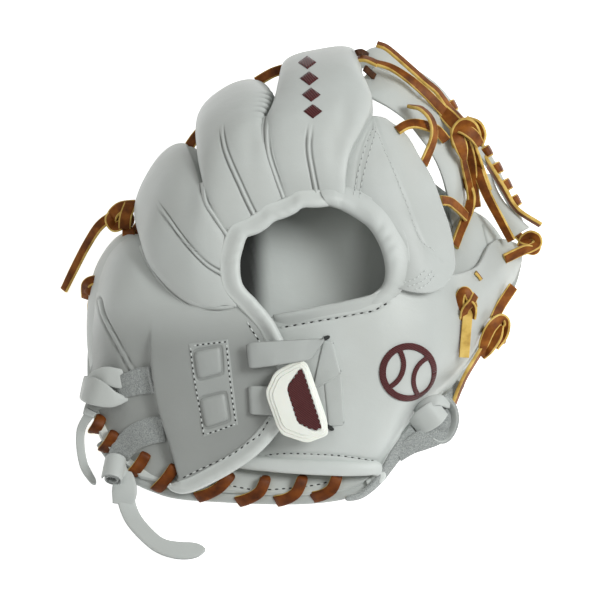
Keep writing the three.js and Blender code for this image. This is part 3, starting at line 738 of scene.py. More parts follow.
# %% Rows of the stalls
STALLS = {
    "index_stall": {
        "tip": 12,
        "welt": [(5, 84.5), (4.2, 77), (5.6, 65.7), (7.7, 56), (8.6, 48)],
        "welt_top": 0.4,
        "rows": [
            (-6.4, 48.4, 24, 21.6, 50.6, 24, 1.0, 31, 2.4),
            (-8.0, 52.5, 24, 22.4, 55, 24, 1.7, 31, 2.4),
            (-11.6, 64, 24, 23.0, 63, 24, 2.6, 31, 2.4),
            (-15.8, 77, 20.5, 25.5, 74, 20.5, 4.6, 30, 2.4),
            (-17.4, 88, 11.5, 32.0, 86, 11.5, 9.0, 27, 2.3),
            (-14.0, 96, -1, 36.5, 98, -1, 11.0, 22, 2.5),
            (-11.0, 105, -16, 31.8, 112, -16, 11.6, 19, 2.9),
            (-9.0, 111.5, -40, 31.0, 119, -40, 12.0, 15, 3.5),
            (-8.0, 110.5, -66, 30.5, 116, -66, 12.5, 13, 3.0),
            (-4.0, 105, -91, 29.0, 107, -91, 10, 11, 2.3),
        ],
    },
    "middle_stall": {
        "tip": 12,
        "welt": [(-39.5, 95), (-38, 77), (-32.5, 63), (-23, 43), (-17, 32)],
        "welt_top": 0.5,
        "size": (94, 210),
        "gathers": (0.42, 0.7, 4.4),
        "rows": [
            (-31.6, 28.6, 24, -7.4, 49, 24, 1.0, 31, 2.4),
            (-36.6, 33.5, 24, -9.0, 53.5, 24, 1.7, 31, 2.4),
            (-43.0, 43.5, 24, -12.6, 64.5, 24, 2.6, 31, 2.4),
            (-47.0, 53, 20.5, -16.8, 77.5, 20.5, 4.8, 30, 2.4),
            (-48.4, 61, 12.5, -18.4, 88.5, 11.5, 9.4, 27, 2.3),
            (-50.0, 70, 1.5, -14.8, 96, -1.5, 12.0, 22, 2.3),
            (-51.0, 78.5, -13, -13.6, 102.5, -16, 12.6, 16, 2.3),
            (-50.5, 84, -35, -15.4, 106.5, -38, 13.2, 13, 2.3),
            (-49.0, 84, -59, -19.0, 105.5, -62, 12.5, 13, 2.3),
            (-45.0, 79.5, -80, -19.0, 99.5, -84, 10, 10.5, 2.3),
        ],
    },
    "ring_stall": {
        "tip": 10,
        "welt": [
            (-73.5, 66), (-73, 57.9), (-72, 50), (-67, 42), (-56.5, 28.5), (-48.5, 19), (-40, 13.7), (-29, 9),
        ],
        "welt_top": 0.52,
        "rows": [
            (-31.5, -3.6, 23.6, -32.8, 28, 23.6, 1.0, 30, 2.4),
            (-37.2, -2.6, 24, -37.0, 32.5, 24, 1.7, 30, 2.4),
            (-44.0, -3.6, 23, -44.2, 43.0, 23.5, 2.8, 29, 2.4),
            (-53.5, -1.6, 19.5, -48.0, 52.6, 20, 5.2, 28, 2.4),
            (-63.2, 4.4, 13, -49.4, 60.6, 12, 8.6, 26, 2.4),
            (-72.6, 15, 4.5, -52.0, 68.6, 1, 10.8, 22, 2.4),
            (-75.8, 25, -6, -54.5, 75.0, -12, 11.8, 19, 2.4),
            (-78.4, 33.5, -19, -56.0, 78.0, -27, 12.2, 16, 2.3),
            (-78.5, 38, -36, -54.5, 77.5, -42, 12, 13, 2.3),
            (-75.0, 38.5, -52, -53.5, 74.0, -56, 11, 11.5, 2.3),
            (-69.5, 38, -65, -52.5, 67.0, -68, 9, 9, 2.3),
        ],
    },
    "pinky_stall": {
        "tip": 6,
        "size": (64, 120),
        "welt": None,
        "welt_top": 0,
        "rows": [
            (-104.5, -38, -25.5, -66.8, 1.4, 5, 7, 11, 2.6),
            (-105.0, -24, -33, -73.6, 13.4, -2, 9, 12, 2.6),
            (-104.0, -9, -40, -78.4, 23.5, -11, 10, 12.5, 2.5),
            (-101.5, 3, -46, -81.6, 31.5, -23, 10, 12, 2.4),
            (-98.0, 10, -51, -81.5, 33.0, -34, 9, 10.5, 2.3),
            (-93.0, 14, -53.5, -79.0, 32.0, -43.5, 7.5, 8.5, 2.3),
        ],
    },
}
print("stalls:", ", ".join(STALLS))

# %% Sections of a stall
BELLY_POWER = 3.0
STALL_SIZE = (72, 210)
CROWDING = 0.09


def stall_angles(count):
    """Turns round a section, closer together over the crown than under the belly."""
    turns = spread(count)
    crowded = turns + CROWDING * np.sin(2 * np.pi * turns)
    return 2 * np.pi * crowded - np.pi / 2


def stall_sections(stall):
    """The plain sleeve, and the measures that its relief needs."""
    steps, columns = stall.get("size", STALL_SIZE)
    rows = smooth_rows(stall["rows"], spread(steps))
    left, right = rows[:, :3], rows[:, 3:6]
    centre = (left + right) / 2
    ahead = unit(np.gradient(centre, axis=0))
    half = np.linalg.norm(right - left, axis=1) / 2
    across = unit(right - left)
    out = unit(np.cross(across, ahead))
    crown, belly, power = rows[:, 6], rows[:, 7], rows[:, 8]
    angle = stall_angles(columns)
    up = np.sin(angle) > 0
    bend = np.where(up[None, :], power[:, None], BELLY_POWER)
    side, rise = squared(np.cos(angle), bend), squared(np.sin(angle), bend)
    height = np.where(up[None, :], crown[:, None], belly[:, None])
    points = (
        centre[:, None]
        + across[:, None] * (half[:, None] * side)[..., None]
        + out[:, None] * (height * rise)[..., None]
    )
    return points, centre, ahead, half, angle, side, np.abs(rise) * height


# %% [markdown]
# The sleeve then gets its relief: a seam down each flank, the gathers of the middle finger, the piped welt,
# and shallow dents where the leather has sunk. Shade is painted into the gathers and beside the welt, and a
# line of painted shade runs down the index finger's seam.

# %% Relief of a stall
WELT_NEAR = 1.5
WELT_SMOOTH = 9
FLANK_SEAM = (0.6, 0.9)
GATHER_HIGH = 1.3
VALLEY = (0.5, 5)
INDEX_SEAM = [(36.5, 90.5), (31, 82.4), (27.5, 76), (24, 66.5), (23, 53.5)]
DENTS = [
    (22.5, 92, (4, 9), 1.3), (17.5, 78, (5, 12), 0.8), (6, 92, (4, 6), 0.6), (-24, 78, (4, 14), 0.7),
    (-54, 52, (5, 10), 0.7),
]


def welt_middle(points, side, up, welt):
    """Where the welt crosses each section, from -1 at the left edge to 1 at the right."""
    gap = np.where(up, distance_to(points, welt), np.inf)
    middle = side[np.arange(len(side)), gap.argmin(axis=1)]
    places = np.flatnonzero(gap.min(axis=1) < WELT_NEAR)
    middle = np.interp(np.arange(len(side)), places, middle[places])
    kernel = np.ones(WELT_SMOOTH) / WELT_SMOOTH
    return np.convolve(np.pad(middle, WELT_SMOOTH // 2, mode="edge"), kernel, mode="valid")


def gather_folds(gathers, centre, angle, share):
    """Small folds where a finger's leather is drawn together: how high, and how much shade."""
    start, stop, pitch = gathers
    window = np.clip((share - start) / 0.05, 0, 1) * np.clip((stop - share) / 0.05, 0, 1)
    window = window * bell(np.degrees(angle) - 8, 20)[None]
    wave = np.sin(np.pi * run_along(centre)[:, None] / pitch)
    return GATHER_HIGH * window * np.abs(wave), 0.55 * window * bell(wave, 0.3)


def stall_relief(stall, points, centre, half, angle, side, flank):
    """How far each point moves out, and how much shade it gathers."""
    share = spread(len(points) - 1)[:, None]
    up = np.sin(angle) > 0
    lift = groove_profile(flank, *FLANK_SEAM) * np.clip((share - 0.25) / 0.2, 0, 1)
    creases = np.zeros(side.shape)
    if "gathers" in stall:
        folds, shade = gather_folds(stall["gathers"], centre, angle, share)
        lift = lift + folds
        creases = np.maximum(creases, shade)
    if stall["welt"]:
        offset = np.abs(side - welt_middle(points, side, up, stall["welt"])[:, None]) * half[:, None]
        fade = np.clip((stall["welt_top"] - share) / 0.05, 0, 1)
        valley = VALLEY[0] * bell(offset, VALLEY[1])
        lift = lift + np.where(up, fade * (welt_profile(offset) - valley), 0)
        creases = np.maximum(creases, np.where(up, 0.8 * fade * welt_creases(offset), 0))
    for u, v, radius, deep in DENTS:
        reach = np.hypot((points[..., 0] - u) / radius[0], (points[..., 1] - v) / radius[1])
        lift = lift - np.where(up, deep * bell(reach, 1), 0)
    # A line of painted shade along the index finger's seam with the crotch panel.
    seam = np.where(up, 0.75 * bell(distance_to(points, INDEX_SEAM), 0.5), 0)
    return lift, np.maximum(creases, seam)


# %% Closing and making the stalls
STALL_WALL = 3.0
TIP_RINGS = 14
FLANKS = (0.14, 0.86)
FLANKS_FROM = 0.4


def stall_points(stall):
    """A sleeve with its relief, and rings that close its tip like a thimble."""
    points, centre, ahead, half, angle, side, flank = stall_sections(stall)
    normals = grid_normals(points, True)
    if ((points - centre[:, None]) * normals).sum() < 0:
        normals = -normals
    lift, creases = stall_relief(stall, points, centre, half, angle, side, flank)
    points = points + normals * lift[..., None]
    rings = [points]
    end, heading = centre[-1], ahead[-1]
    for turn in np.linspace(0, 0.5, TIP_RINGS + 1)[1:]:
        shrink = max(math.cos(turn * math.pi), 0) ** 0.8
        ring = end + (points[-1] - end) * shrink + heading * stall["tip"] * math.sin(turn * math.pi)
        rings.append(ring[None])
    creases = np.concatenate([creases, np.zeros((TIP_RINGS, creases.shape[1]))])
    return np.concatenate(rings), creases


finger_sides = []
for name, stall in STALLS.items():
    points, creases = stall_points(stall)
    first, last = round(FLANKS_FROM * len(points)), points.shape[1] - 1
    finger_sides += [points[first:-TIP_RINGS, round(share * last)] for share in FLANKS]
    bm = grid_mesh(points, closed=True, creases=creases)
    bmesh.ops.recalc_face_normals(bm, faces=bm.faces)
    finish_piece(name, bm, [SKIN, LINING], "leather", [name], STALL_WALL, lay_on=True)

# %% [markdown]
# ## Back flap and little finger
#
# One skin runs from the little finger's tip down to the heel. It could be two pieces joined at the knuckle,
# but the photograph shows no seam there. Each row of the table is a line of points from the outer edge to the
# roll round the hand hole. The flap swells beside its long fold, and the outer part lies lower. Below the
# knuckle the flap is painted darker as shade, more towards the hand hole, and a line of painted shade follows
# the fold.

# %% Flap rows
FLAP_ROWS = [
    [(-88, 18, -57), (-86, 22, -55), (-83, 26, -52), (-80, 29, -49), (-77, 31, -46)],
    [(-96, 14, -53), (-93, 22.5, -45), (-88, 29, -40), (-83, 33, -38), (-78, 34, -38)],
    [(-103, 4, -47), (-99, 18, -33), (-94, 26.5, -26), (-87, 31.5, -22), (-80, 32.5, -21)],
    [(-105.5, -8, -40), (-102, 6, -23), (-96, 17, -13.5), (-88, 24, -7.5), (-77.8, 24.5, -5)],
    [(-106.5, -20, -34), (-102.5, -7, -15), (-94.5, 4.5, -3), (-84, 13, 3), (-73.2, 14, 4.8)],
    [(-107, -30, -29.5), (-101, -15, -9), (-91.5, -6, 2), (-79, 0.5, 9), (-65, 4, 13)],
    [(-107, -38, -25.5), (-98, -23, -5), (-85, -13, 6), (-68, -7, 14.5), (-48, -2, 21.5)],
    [(-106.5, -44, -22), (-95.5, -31, -3), (-79, -21.5, 8), (-60, -15.5, 15.5), (-28, 1, 24.2)],
    [(-105.5, -51, -19), (-92, -41, -2), (-73, -33, 9), (-51, -27, 17), (-17, -10.5, 23.4)],
    [(-102.5, -61.5, -14), (-86.5, -54, -1), (-64.5, -46, 9), (-38, -39, 17), (-8, -27, 21)],
    [(-98.0, -72.5, -8), (-81.5, -68.5, 0.5), (-58.5, -60.5, 9.5), (-33, -53, 15.5), (-5, -44.5, 19)],
    [(-91, -82, -3.5), (-76, -79.5, 2), (-54.5, -73.5, 8.5), (-34, -66, 13), (-10, -59.6, 17.6)],
    [(-82, -89.5, 0), (-71, -87.5, 4), (-56, -83.5, 7.5), (-40.5, -77.5, 11), (-21, -72, 14.5)],
    [(-72, -94, 3.5), (-64, -92.8, 5), (-57, -90.4, 6.5), (-49, -87, 8), (-36, -84.4, 10.4)],
]

# %% Flap
WELT_LITTLE = [(-101, 0), (-98.5, -8.5), (-92, -20.5), (-84.5, -34.5), (-79, -45)]
FLAP_FOLD = [(-74.5, -24), (-74, -33), (-72.7, -44.5), (-69.5, -58), (-65.3, -71.5), (-60.8, -88)]


def flap_relief(points, _):
    u, v = points[..., 0], points[..., 1]
    fold = distance_to(points, FLAP_FOLD)
    fold_u = np.interp(-v, [-place[1] for place in FLAP_FOLD], [place[0] for place in FLAP_FOLD])
    inner = (1 + np.tanh(np.sign(u - fold_u) * fold / 0.5)) / 2
    welt = distance_to(points, WELT_LITTLE)
    grow = eased(np.clip((-8 - v) / 32, 0, 1))
    swell = 3.0 * bell(fold, 17) * inner - 1.6 * bell(fold, 9) * (1 - inner)
    # Painted shade: a dark line along the fold, and the lower flap painted darker as shade.
    shade = 0.55 * bell(fold, 0.7) * np.clip((-28 - v) / 10, 0, 1)
    painted_dimming = eased(np.clip((2 - v) / 28, 0, 1)) * (0.42 + 0.14 * np.clip((u + 95) / 30, 0, 1))
    return welt_profile(welt) + grow * swell, np.max([0.75 * welt_creases(welt), shade, painted_dimming], axis=0)


panel("back_flap", FLAP_ROWS, (140, 110), 2.6, flap_relief, nodes=["back_flap"])

# %% [markdown]
# ## Thumb side and wrist
#
# The thumb side is one stiff skin from the heel to the thumb's tip, which turns down at its outer
# edge. Sculpting it would take many strokes to get one even curve. Here each row runs from the
# outer edge to the hand hole or the web, and the seams are grooves that the thread lies in later.

# %% Thumb rows
THUMB_ROWS = [
    [(-30, -83.6, 0), (-30, -79.6, 4.5), (-27, -66, 6.5), (-24, -48, 9), (-19, -28, 13), (-15, -9, 16.5)],
    [(0, -85.6, 3), (0, -82.2, 9.2), (2, -70, 12), (4, -50, 15), (6, -27, 19), (8.5, -3.4, 22.5)],
    [(25, -86.2, 2), (25, -83.4, 8.4), (27, -70, 13), (29, -48, 18), (30, -23, 22), (31, 0.8, 24.5)],
    [(42.5, -86, -4), (41, -83.5, 2), (43, -68, 11), (46, -46, 17.5), (46, -19, 22), (43, 6.2, 23.5)],
    [(53.5, -69.5, -16), (52, -66, -9.5), (56, -54, 4), (60, -36, 14), (61, -14, 17), (59, 8, 17)],
    [(67.5, -55, -24), (65, -52, -17), (70, -42, -5), (74, -28, 5), (76, -8, 8), (73, 12, 8)],
    [(80, -44.5, -29), (77, -42, -22.5), (81, -33, -12), (85, -20, -3), (86, -3, -1), (82, 14, -4)],
    [(91, -28.5, -37), (88, -27, -30), (91, -19, -22), (94, -9, -15), (94, 4, -13), (90, 18, -16)],
    [(101, -9.5, -46), (98, -9, -39), (100, -3, -33), (102, 5, -28), (101, 15, -27), (96, 28, -30)],
    [(109.5, 6, -53.5), (107, 6, -46.5), (108, 10, -43), (108, 16, -40), (106, 23, -39), (102, 31, -40)],
    [(113, 18.5, -57), (112, 18, -52), (113, 20, -51), (113, 23, -49.5), (112, 26, -49), (110, 29, -49)],
]

# %% Thumb
HOLE_SEAM = [(-10.7, -14), (8.5, -10.5), (17.7, -9), (27.5, -7), (36, -5.4), (43.5, -1.5)]
WRIST_SEAM = [(-18, -77.5), (-5, -76.5), (19, -77.5), (38.5, -80.5)]
SEAM_GROOVE = (0.7, 0.8)


def thumb_relief(points, _):
    u = points[..., 0]
    hole_seam, wrist_seam = distance_to(points, HOLE_SEAM), distance_to(points, WRIST_SEAM)
    lift = groove_profile(hole_seam, *SEAM_GROOVE) + groove_profile(wrist_seam, *SEAM_GROOVE)
    # Painted shade: the thumb side, in the leather painted lighter, is painted darker towards its outer edge,
    # with a line of shade along the hole seam.
    painted_dimming = 0.04 + 0.26 * np.clip((u - 42) / 22, 0, 1) + 0.07 * np.clip((u - 80) / 20, 0, 1)
    return lift, np.maximum(0.3 * bell(hole_seam, 0.7), painted_dimming)


panel("thumb_back", THUMB_ROWS, (140, 100), 2.6, thumb_relief, nodes=["thumb_back"], skin=SKIN_PAINTED_LIGHTER)

# %% [markdown]
# ## Crotch panel
#
# This panel fills the fork between the index finger and the thumb, and three seams run down it. It
# could be part of the index finger's sleeve, but on the real glove it is a sheet of its own that
# slips under the sleeve, and so it is here.

# %% Crotch panel
CROTCH_ROWS = [
    [(35.8, 92, 0.5), (38, 92, 1), (40.5, 91.6, 0.5), (43, 91, -1)],
    [(30, 84.5, 10), (38, 84, 10), (46, 83.5, 6), (53, 83, -1)],
    [(23.6, 74, 17), (37, 72.5, 17.5), (49, 71, 13), (60, 71.5, -1)],
    [(20.6, 63, 20.5), (37, 60.5, 21.5), (52, 59, 16.5), (66.5, 60.5, 0)],
    [(20.6, 55, 22), (40, 50, 23), (56, 46, 18), (71, 48, 2)],
    [(33, 42, 23), (47, 38, 23.5), (60, 36, 19), (75, 36, 4)],
    [(42, 29, 23.5), (54, 28, 23.5), (65, 25, 18.5), (77, 25, 7)],
    [(44, 17, 24), (56, 16.5, 24), (66, 14.5, 20), (77, 15, 11)],
    [(46, 6.5, 24), (55, 4, 24), (64, 3.5, 21.5), (72, 6.5, 16)],
]
CROTCH_GROOVES = [
    [(36, 89), (31, 78), (28, 66), (27, 52)],
    [(36.5, 88), (33.5, 78), (30.5, 66), (29.5, 52)],
    [(37.5, 90), (44, 71), (53, 49), (57.5, 37), (62.5, 26.5), (70, 20)],
]


def crotch_relief(points, _):
    lift = sum(groove_profile(distance_to(points, seam), 0.35, 0.8) for seam in CROTCH_GROOVES)
    # Painted shade: the panel is painted a little darker, fading out towards its top.
    return lift, 0.15 * np.clip((80 - points[..., 1]) / 30, 0, 1)


panel("crotch_panel", CROTCH_ROWS, (120, 70), 2.2, crotch_relief, nodes=["crotch_panel"])

# %% [markdown]
# ## Palm
#
# The palm is the padded leather that the glove lies on. From the back only its lining is seen, down in the
# hand hole. It could be left out there, but then the hole would show the table. It needs no relief, so a wide
# table of rows and a thick wall are enough. Shade is painted into the lining, darker under the rim of the
# hole, where little light reaches.

# %% Palm
PALM_ROWS = [
    [(-80, -91, -1), (-60, -95.5, 0.5), (-30, -98, 1.5), (-5, -99, 2), (12, -98, 2), (26, -95.5, 1),
     (38, -89.5, -2.5)],
    [(-98, -74, -12.5), (-72, -78, -7.5), (-38, -80, -4.5), (-5, -81, -3.5), (16, -80, -4), (34, -77, -7.5),
     (49, -72, -13.8)],
    [(-105, -52, -24), (-78, -52, -15.5), (-42, -50, -10.5), (-5, -50, -8.5), (25, -49, -8.5),
     (48, -50, -14.5), (66, -53, -23.5)],
    [(-106, -30, -35), (-80, -24, -25), (-44, -16, -17), (-4, -14, -14), (32, -14, -12), (62, -20, -19),
     (84, -33, -33.7)],
    [(-104, -10, -45), (-80, -4, -35), (-50, 12, -22), (-8, 26, -17.5), (38, 18, -14), (72, 2, -22),
     (97, -11, -45)],
    [(-99, 6, -53), (-78, 10, -43), (-58, 34, -27), (-20, 58, -21.5), (42, 48, -18), (80, 22, -32),
     (106, 5, -53.5)],
    [(-95, 13, -56.5), (-74, 20, -47), (-56, 46, -32), (-14, 82, -25), (42, 72, -25), (82, 46, -44),
     (110, 23, -62)],
]
PALM_SIZE = (80, 100)
PALM_SKIN = 2.9
PALM_WALL = 6.0


def palm_piece():
    points = panel_points(PALM_ROWS, *PALM_SIZE)
    u, v = points[..., 0], points[..., 1]
    # Painted shade in the hand hole: the lining is painted darker towards the hole's left, right and top
    # rims, and a little darker at its heel end.
    left = eased(np.clip((-13.5 - u) / 11, 0, 1))
    right, top = 0.5 * np.clip((u - 24) / 10, 0, 1), 0.25 * np.clip((v - 28) / 14, 0, 1)
    hole = np.max([left, right, top], axis=0) * np.clip((v + 25) / 10, 0, 1)
    creases = hole + 0.3 * np.clip((-86 - v) / 4, 0, 1)
    bm = grid_mesh(points + out_normals(points) * PALM_SKIN, creases=creases)
    face_out(bm)
    piece = finish_piece("palm", bm, [LINING, SKIN], "palm_leather", ["palm"], PALM_WALL, lay_on=True)


palm_piece()


# %% [markdown]
# ## Web
#
# The web is the net between the index finger and the thumb that the ball lands in: a base band, a
# rim across the top, a post between them and a strip beside its laces. They are stiff straps cut
# from hide. Bent boxes would have sharp ends, so each strap is a narrow panel whose edges roll off.

# %% Web rows
WEB_BAND_ROWS = [
    [(28, 107, -20), (32, 112, -25), (38, 118, -33)],
    [(36.5, 101.5, -15), (44, 107, -19.5), (51, 111, -27)],
    [(46, 96, -14), (53, 99, -18), (59.5, 103, -26)],
    [(53.5, 90, -14), (60, 93.6, -18), (68, 97.6, -27)],
    [(60, 82, -15), (67.6, 85.4, -19), (76, 88.6, -29)],
    [(66, 74, -17), (73.2, 77.2, -21), (80.4, 80, -31)],
    [(71, 64, -20), (77.4, 67.5, -24), (83, 70, -33.4)],
    [(75, 50.5, -24), (79, 54, -28), (83.5, 58, -38)],
    [(77, 37, -31), (81, 40.5, -36), (85, 44, -46)],
]
WEB_TOP_ROWS = [
    [(24, 116, -50), (28, 121, -56), (31, 122, -66)],
    [(33, 119, -50), (37, 127.2, -57), (40, 126, -68)],
    [(40, 116, -50), (45.4, 125.4, -58), (48, 122.6, -70)],
    [(47, 110, -52), (55.2, 118.4, -60), (58, 115, -72)],
    [(62, 102, -54), (69.2, 108.6, -62), (72, 105.6, -72)],
    [(76, 90, -54), (81, 94, -60), (83, 91, -70)],
    [(88, 77, -53), (92, 79.6, -58), (94, 76, -66)],
    [(95, 69, -52), (97.8, 70.6, -57), (99, 68, -63)],
    [(101, 57.5, -48), (103.6, 58.5, -52), (104.6, 56, -58)],
    [(106, 48, -46), (108, 48.6, -49), (108.6, 47, -54)],
    [(110, 40, -45), (112, 40, -47), (112.6, 39, -50)],
]
WEB_STRIP_ROWS = [
    [(90, 63, -48), (97, 64, -48)],
    [(93.4, 53, -46), (101, 54.4, -46)],
    [(97.6, 44, -44), (106, 47, -44)],
    [(102.4, 36.8, -43), (111.4, 41.4, -43)],
    [(107, 31, -43), (116.4, 37, -43)],
]


THUMB_WEB_ROWS = [
    [(70, 8, 0), (80, 11, -8), (89, 15, -18), (97, 24, -34), (104, 29, -46)],
    [(74, 19, -14), (81, 20.5, -18), (88.6, 23, -24), (96, 29, -36), (102, 32, -45)],
    [(76, 30, -26), (82, 31.5, -27), (88.4, 33.5, -31), (94.4, 35.5, -38), (99, 36.4, -45)],
    [(76.6, 39, -33), (81, 42, -34), (86.6, 45, -37), (91, 43.4, -41), (95, 41, -46)],
]

# %% Web
THUMB_WEB_SEAM = [(92.6, 38), (93.6, 34), (95.2, 27), (96, 18)]
STRAP_WIDE = 14
POST_ROUTE = [(64, 98, -34.5), (69, 101, -46), (72.5, 101.5, -60)]


def edge_distance(across):
    """How far a place on a strap lies from the nearer edge, in millimetres."""
    return np.minimum(across, 1 - across) * STRAP_WIDE


def rim_relief(_, across):
    edge = edge_distance(across)
    return 0.8 * (1 - np.exp(-edge / 1.6)) + 0.5 * np.sin(np.pi * across), 0.35 * np.exp(-edge / 0.35)


def band_relief(_, across):
    edge = edge_distance(across)
    return 0.4 * (1 - np.exp(-edge / 0.8)), 0.25 * np.exp(-edge / 0.3)


def thumb_web_relief(points, _):
    seam = distance_to(points, THUMB_WEB_SEAM)
    return groove_profile(seam, 0.5, 0.6), 0.5 * bell(seam, 0.5)


panel("thumb_web_side", THUMB_WEB_ROWS, (70, 60), 2.0, thumb_web_relief)
panel("web_band", WEB_BAND_ROWS, (150, 40), 2.2, band_relief, nodes=["web_band"])
panel("web_top", WEB_TOP_ROWS, (150, 40), 3.0, rim_relief, nodes=["web_top"])
panel("web_strip", WEB_STRIP_ROWS, (60, 20), 2.0, rim_relief)
ribbon("web_post", POST_ROUTE, 11, 2.2, THONG, ["web_post"], up=(0.6, 0.7, 0.4))

# %% [markdown]
# ## Rolled edges
#
# At the wrist and the heel the edge of the leather is bound over a cord. A round tube along the
# edge would do, but a binding is wider than it is thick and sinks a little at its ends, so it is
# swept like a lace, with a rounder section and its own widths.

# %% Bindings
# The wrist roll uses the back leather painted lighter.
ROLL = {"materials": (SKIN_PAINTED_LIGHTER, SKIN_PAINTED_LIGHTER), "slot": "leather"}
HEEL_EDGE = {"materials": (STRAP_SKIN, STRAP_SKIN), "slot": "leather"}
WRIST_ROLL = [
    (-41, -78, 2), (-27, -80.8, 5.8), (-12, -82.2, 8.6), (2, -83.2, 10), (20, -84, 10), (31, -84, 8.4),
    (37.4, -84, 6.2), (39.8, -87, 4), (37, -90.6, 2.6), (33.6, -92, 2.4),
]
HEEL_ROLL = [
    (-100, -72, -12), (-93, -81, -7), (-84, -88.5, -2.5), (-72, -94, 0.8), (-60, -97.2, 2.2), (-40, -98.6, 3),
    (-18, -99.6, 3.4), (5, -99.4, 3.4), (24, -96.4, 2.6), (38, -89, -0.5),
]
WRIST_WIDE = [7.5, 7.5, 7.5, 7.5, 7.3, 6.4, 5]
ribbon("wrist_roll", WRIST_ROLL, WRIST_WIDE, 6, ROLL, ["wrist_roll"], steps=90, power=2.3)
ribbon("heel_roll", HEEL_ROLL, 5, 4.5, HEEL_EDGE, ["heel_roll"], steps=120, power=2.4)

# %% [markdown]
# ## Laying things on the skin
#
# Welts between the fingers, straps, stitches and the embroidery all lie on the leather. Blender's
# Shrinkwrap modifier could press them down, but a band also needs to know which way the leather
# faces. A ray dropped from above gives both the place on the skin and its normal.

# %% Laying
DROP_FROM = 200
DOWN = Vector((0, 0, -1))


def drop(u, v, skins=None):
    """The highest skin under a place, and its normal. It can be asked of some skins only."""
    best = None
    for surface in [outer_surfaces[name] for name in skins or outer_surfaces]:
        place, normal, _, _ = surface.ray_cast(Vector((u, v, DROP_FROM)), DOWN)
        if place and (best is None or place.z > best[0].z):
            best = (place, normal if normal.z > 0 else -normal)
    return best


def laid(route, lift, count):
    """Points and normals of a route over the skin."""
    flat = smooth_rows([point[:2] for point in route], spread(count))
    places, normals = [], []
    for u, v in flat:
        hit = drop(u, v)
        if hit is None:
            hit = (Vector((u, v, places[-1][2] - lift if places else 0)), BACK_VIEW)
        places.append([u, v, hit[0].z + lift])
        normals.append(list(hit[1]))
    return np.array(places), np.array(normals)


def softened(values, reach):
    """Each row of values averaged with its neighbours."""
    kernel = np.ones(2 * reach + 1) / (2 * reach + 1)
    padded = np.pad(values, ((reach, reach), (0, 0)), mode="edge")
    return np.stack([np.convolve(column, kernel, mode="valid") for column in padded.T], axis=1)


def laid_ribbon(name, route, wide, thick, kind, nodes=(), lift=None, reach=3, steps=50, **shape):
    places, normals = laid(route, thick / 2 if lift is None else lift, steps)
    places[:, 2:] = softened(places[:, 2:], reach)
    bm = ribbon_mesh(places, wide, thick, up=unit(softened(normals, 6)), steps=steps, **shape)
    return finish_piece(name, bm, kind["materials"], kind["slot"], nodes)


# %% [markdown]
# ## Rim of the hand hole
#
# The skin round the hole is turned over its free edge and sewn down, so the rim has no cut edge.
# A tube along the edge would show a groove beside it. Here the rim climbs out of the skin without
# a step, and rolls over. Seen from above, the free edge is a chain of shallow scallops, one to a
# finger. The left side runs on down the edge of the flap, where the roll tapers off.

# %% Edges of the hand hole
LEFT_EDGE = [
    (-66.2, -93.4), (-63.4, -95.6), (-58, -96.6), (-50, -94.4), (-34, -86), (-20, -76), (-9.5, -64),
    (-3, -52), (-2, -40), (-4.2, -28), (-9, -18), (-14, -9), (-21.5, 0), (-28.4, 8), (-29.6, 18.5),
    (-28, 26), (-26.4, 30.6), (-24.5, 31.6), (-20.5, 33), (-16.2, 35.7), (-13.7, 38), (-11.5, 39.3),
    (-6.5, 41), (-2, 43.2), (0.6, 45.2), (3, 45.8), (9.5, 45.8), (16.5, 46.8),
]
RIGHT_EDGE = [
    (13.4, 46.8), (16.6, 46), (20.4, 44.6), (27.5, 40.6), (34, 35.7), (38.8, 28.1), (41.5, 20.5),
    (42.2, 13), (40.6, 7.2), (36, 3.2), (32, 1.9),
]
LOW_EDGE = [(37, 3.6), (34.5, 2.4), (24, 0), (12.3, -2.6), (0, -4.8), (-13.4, -7.3)]

# %% Rim helpers
LAP = 0.8
ROLL_TURN = (-130, 90)
ROLL_COLUMNS = 19
SLOPE_COLUMNS = 21


def crest(values, reach):
    """Each value, or a neighbour that is higher."""
    padded = np.pad(values, ((reach, reach), (0, 0)), mode="edge")
    return np.max([padded[k : k + len(values)] for k in range(2 * reach + 1)], axis=0)


def skin_under(flat, skins):
    """The height of the skin under a line, with gaps filled in from both sides."""
    hits = [drop(*place, skins) for place in flat]
    heights = np.array([hit[0].z if hit else np.nan for hit in hits])
    known = np.flatnonzero(~np.isnan(heights))
    return np.interp(np.arange(len(flat)), known, heights[known])[:, None]


def rim_profile(wide, rise, radius):
    """The section of a rim: a roll at the free edge, then a slope down into the skin."""
    arc = np.radians(np.linspace(*ROLL_TURN, ROLL_COLUMNS))[None]
    over = np.linspace(0, 1, SLOPE_COLUMNS)[None, 1:]
    roll = radius * (1 - np.cos(arc)) + 0 * wide
    away = np.concatenate([roll, radius + (wide - radius) * over, wide + LAP], axis=1)
    climb = rise - radius + radius * np.sin(arc)
    high = np.concatenate([climb, rise * (0.5 + 0.5 * np.cos(np.pi * over)), rise * 0 - 0.6], axis=1)
    return away, high


def rim_folds(run, share):
    """Small pleats where the leather is drawn round a curve. They fade towards both ends."""
    folds = np.abs(np.sin(0.42 * run + 1.4 * np.sin(0.19 * run) + 2.2 * share)) ** 3
    folds = folds * bell(share - 0.28, 0.22)
    return folds * np.clip(run / 12, 0, 1) * np.clip((run[-1] - run - 6) / 22, 0, 1)


# %% Rim
RIM_STEPS = 210
RIM_WALL = 1.6
LEFT_WIDE = [4, 6.5, 7.5, 8, 8, 8, 8, 9, 10, 9.5, 9, 9, 9, 8.5, 8.5, 8]
LEFT_RISE = [1.4, 2.2, 2.4, 2.2, 2.2, 2.2, 2.4, 2.0]
RIGHT_WIDE = [7, 9.5, 11, 12.5, 13.5, 14, 13, 11, 8.5, 6.5, 5.5]
RIGHT_RISE = [1.7, 1.8, 1.9, 2.0, 2.0, 1.7, 0.9, 0.3]
LOW_WIDE = [5, 5.6, 5.8, 6, 6, 5.6]


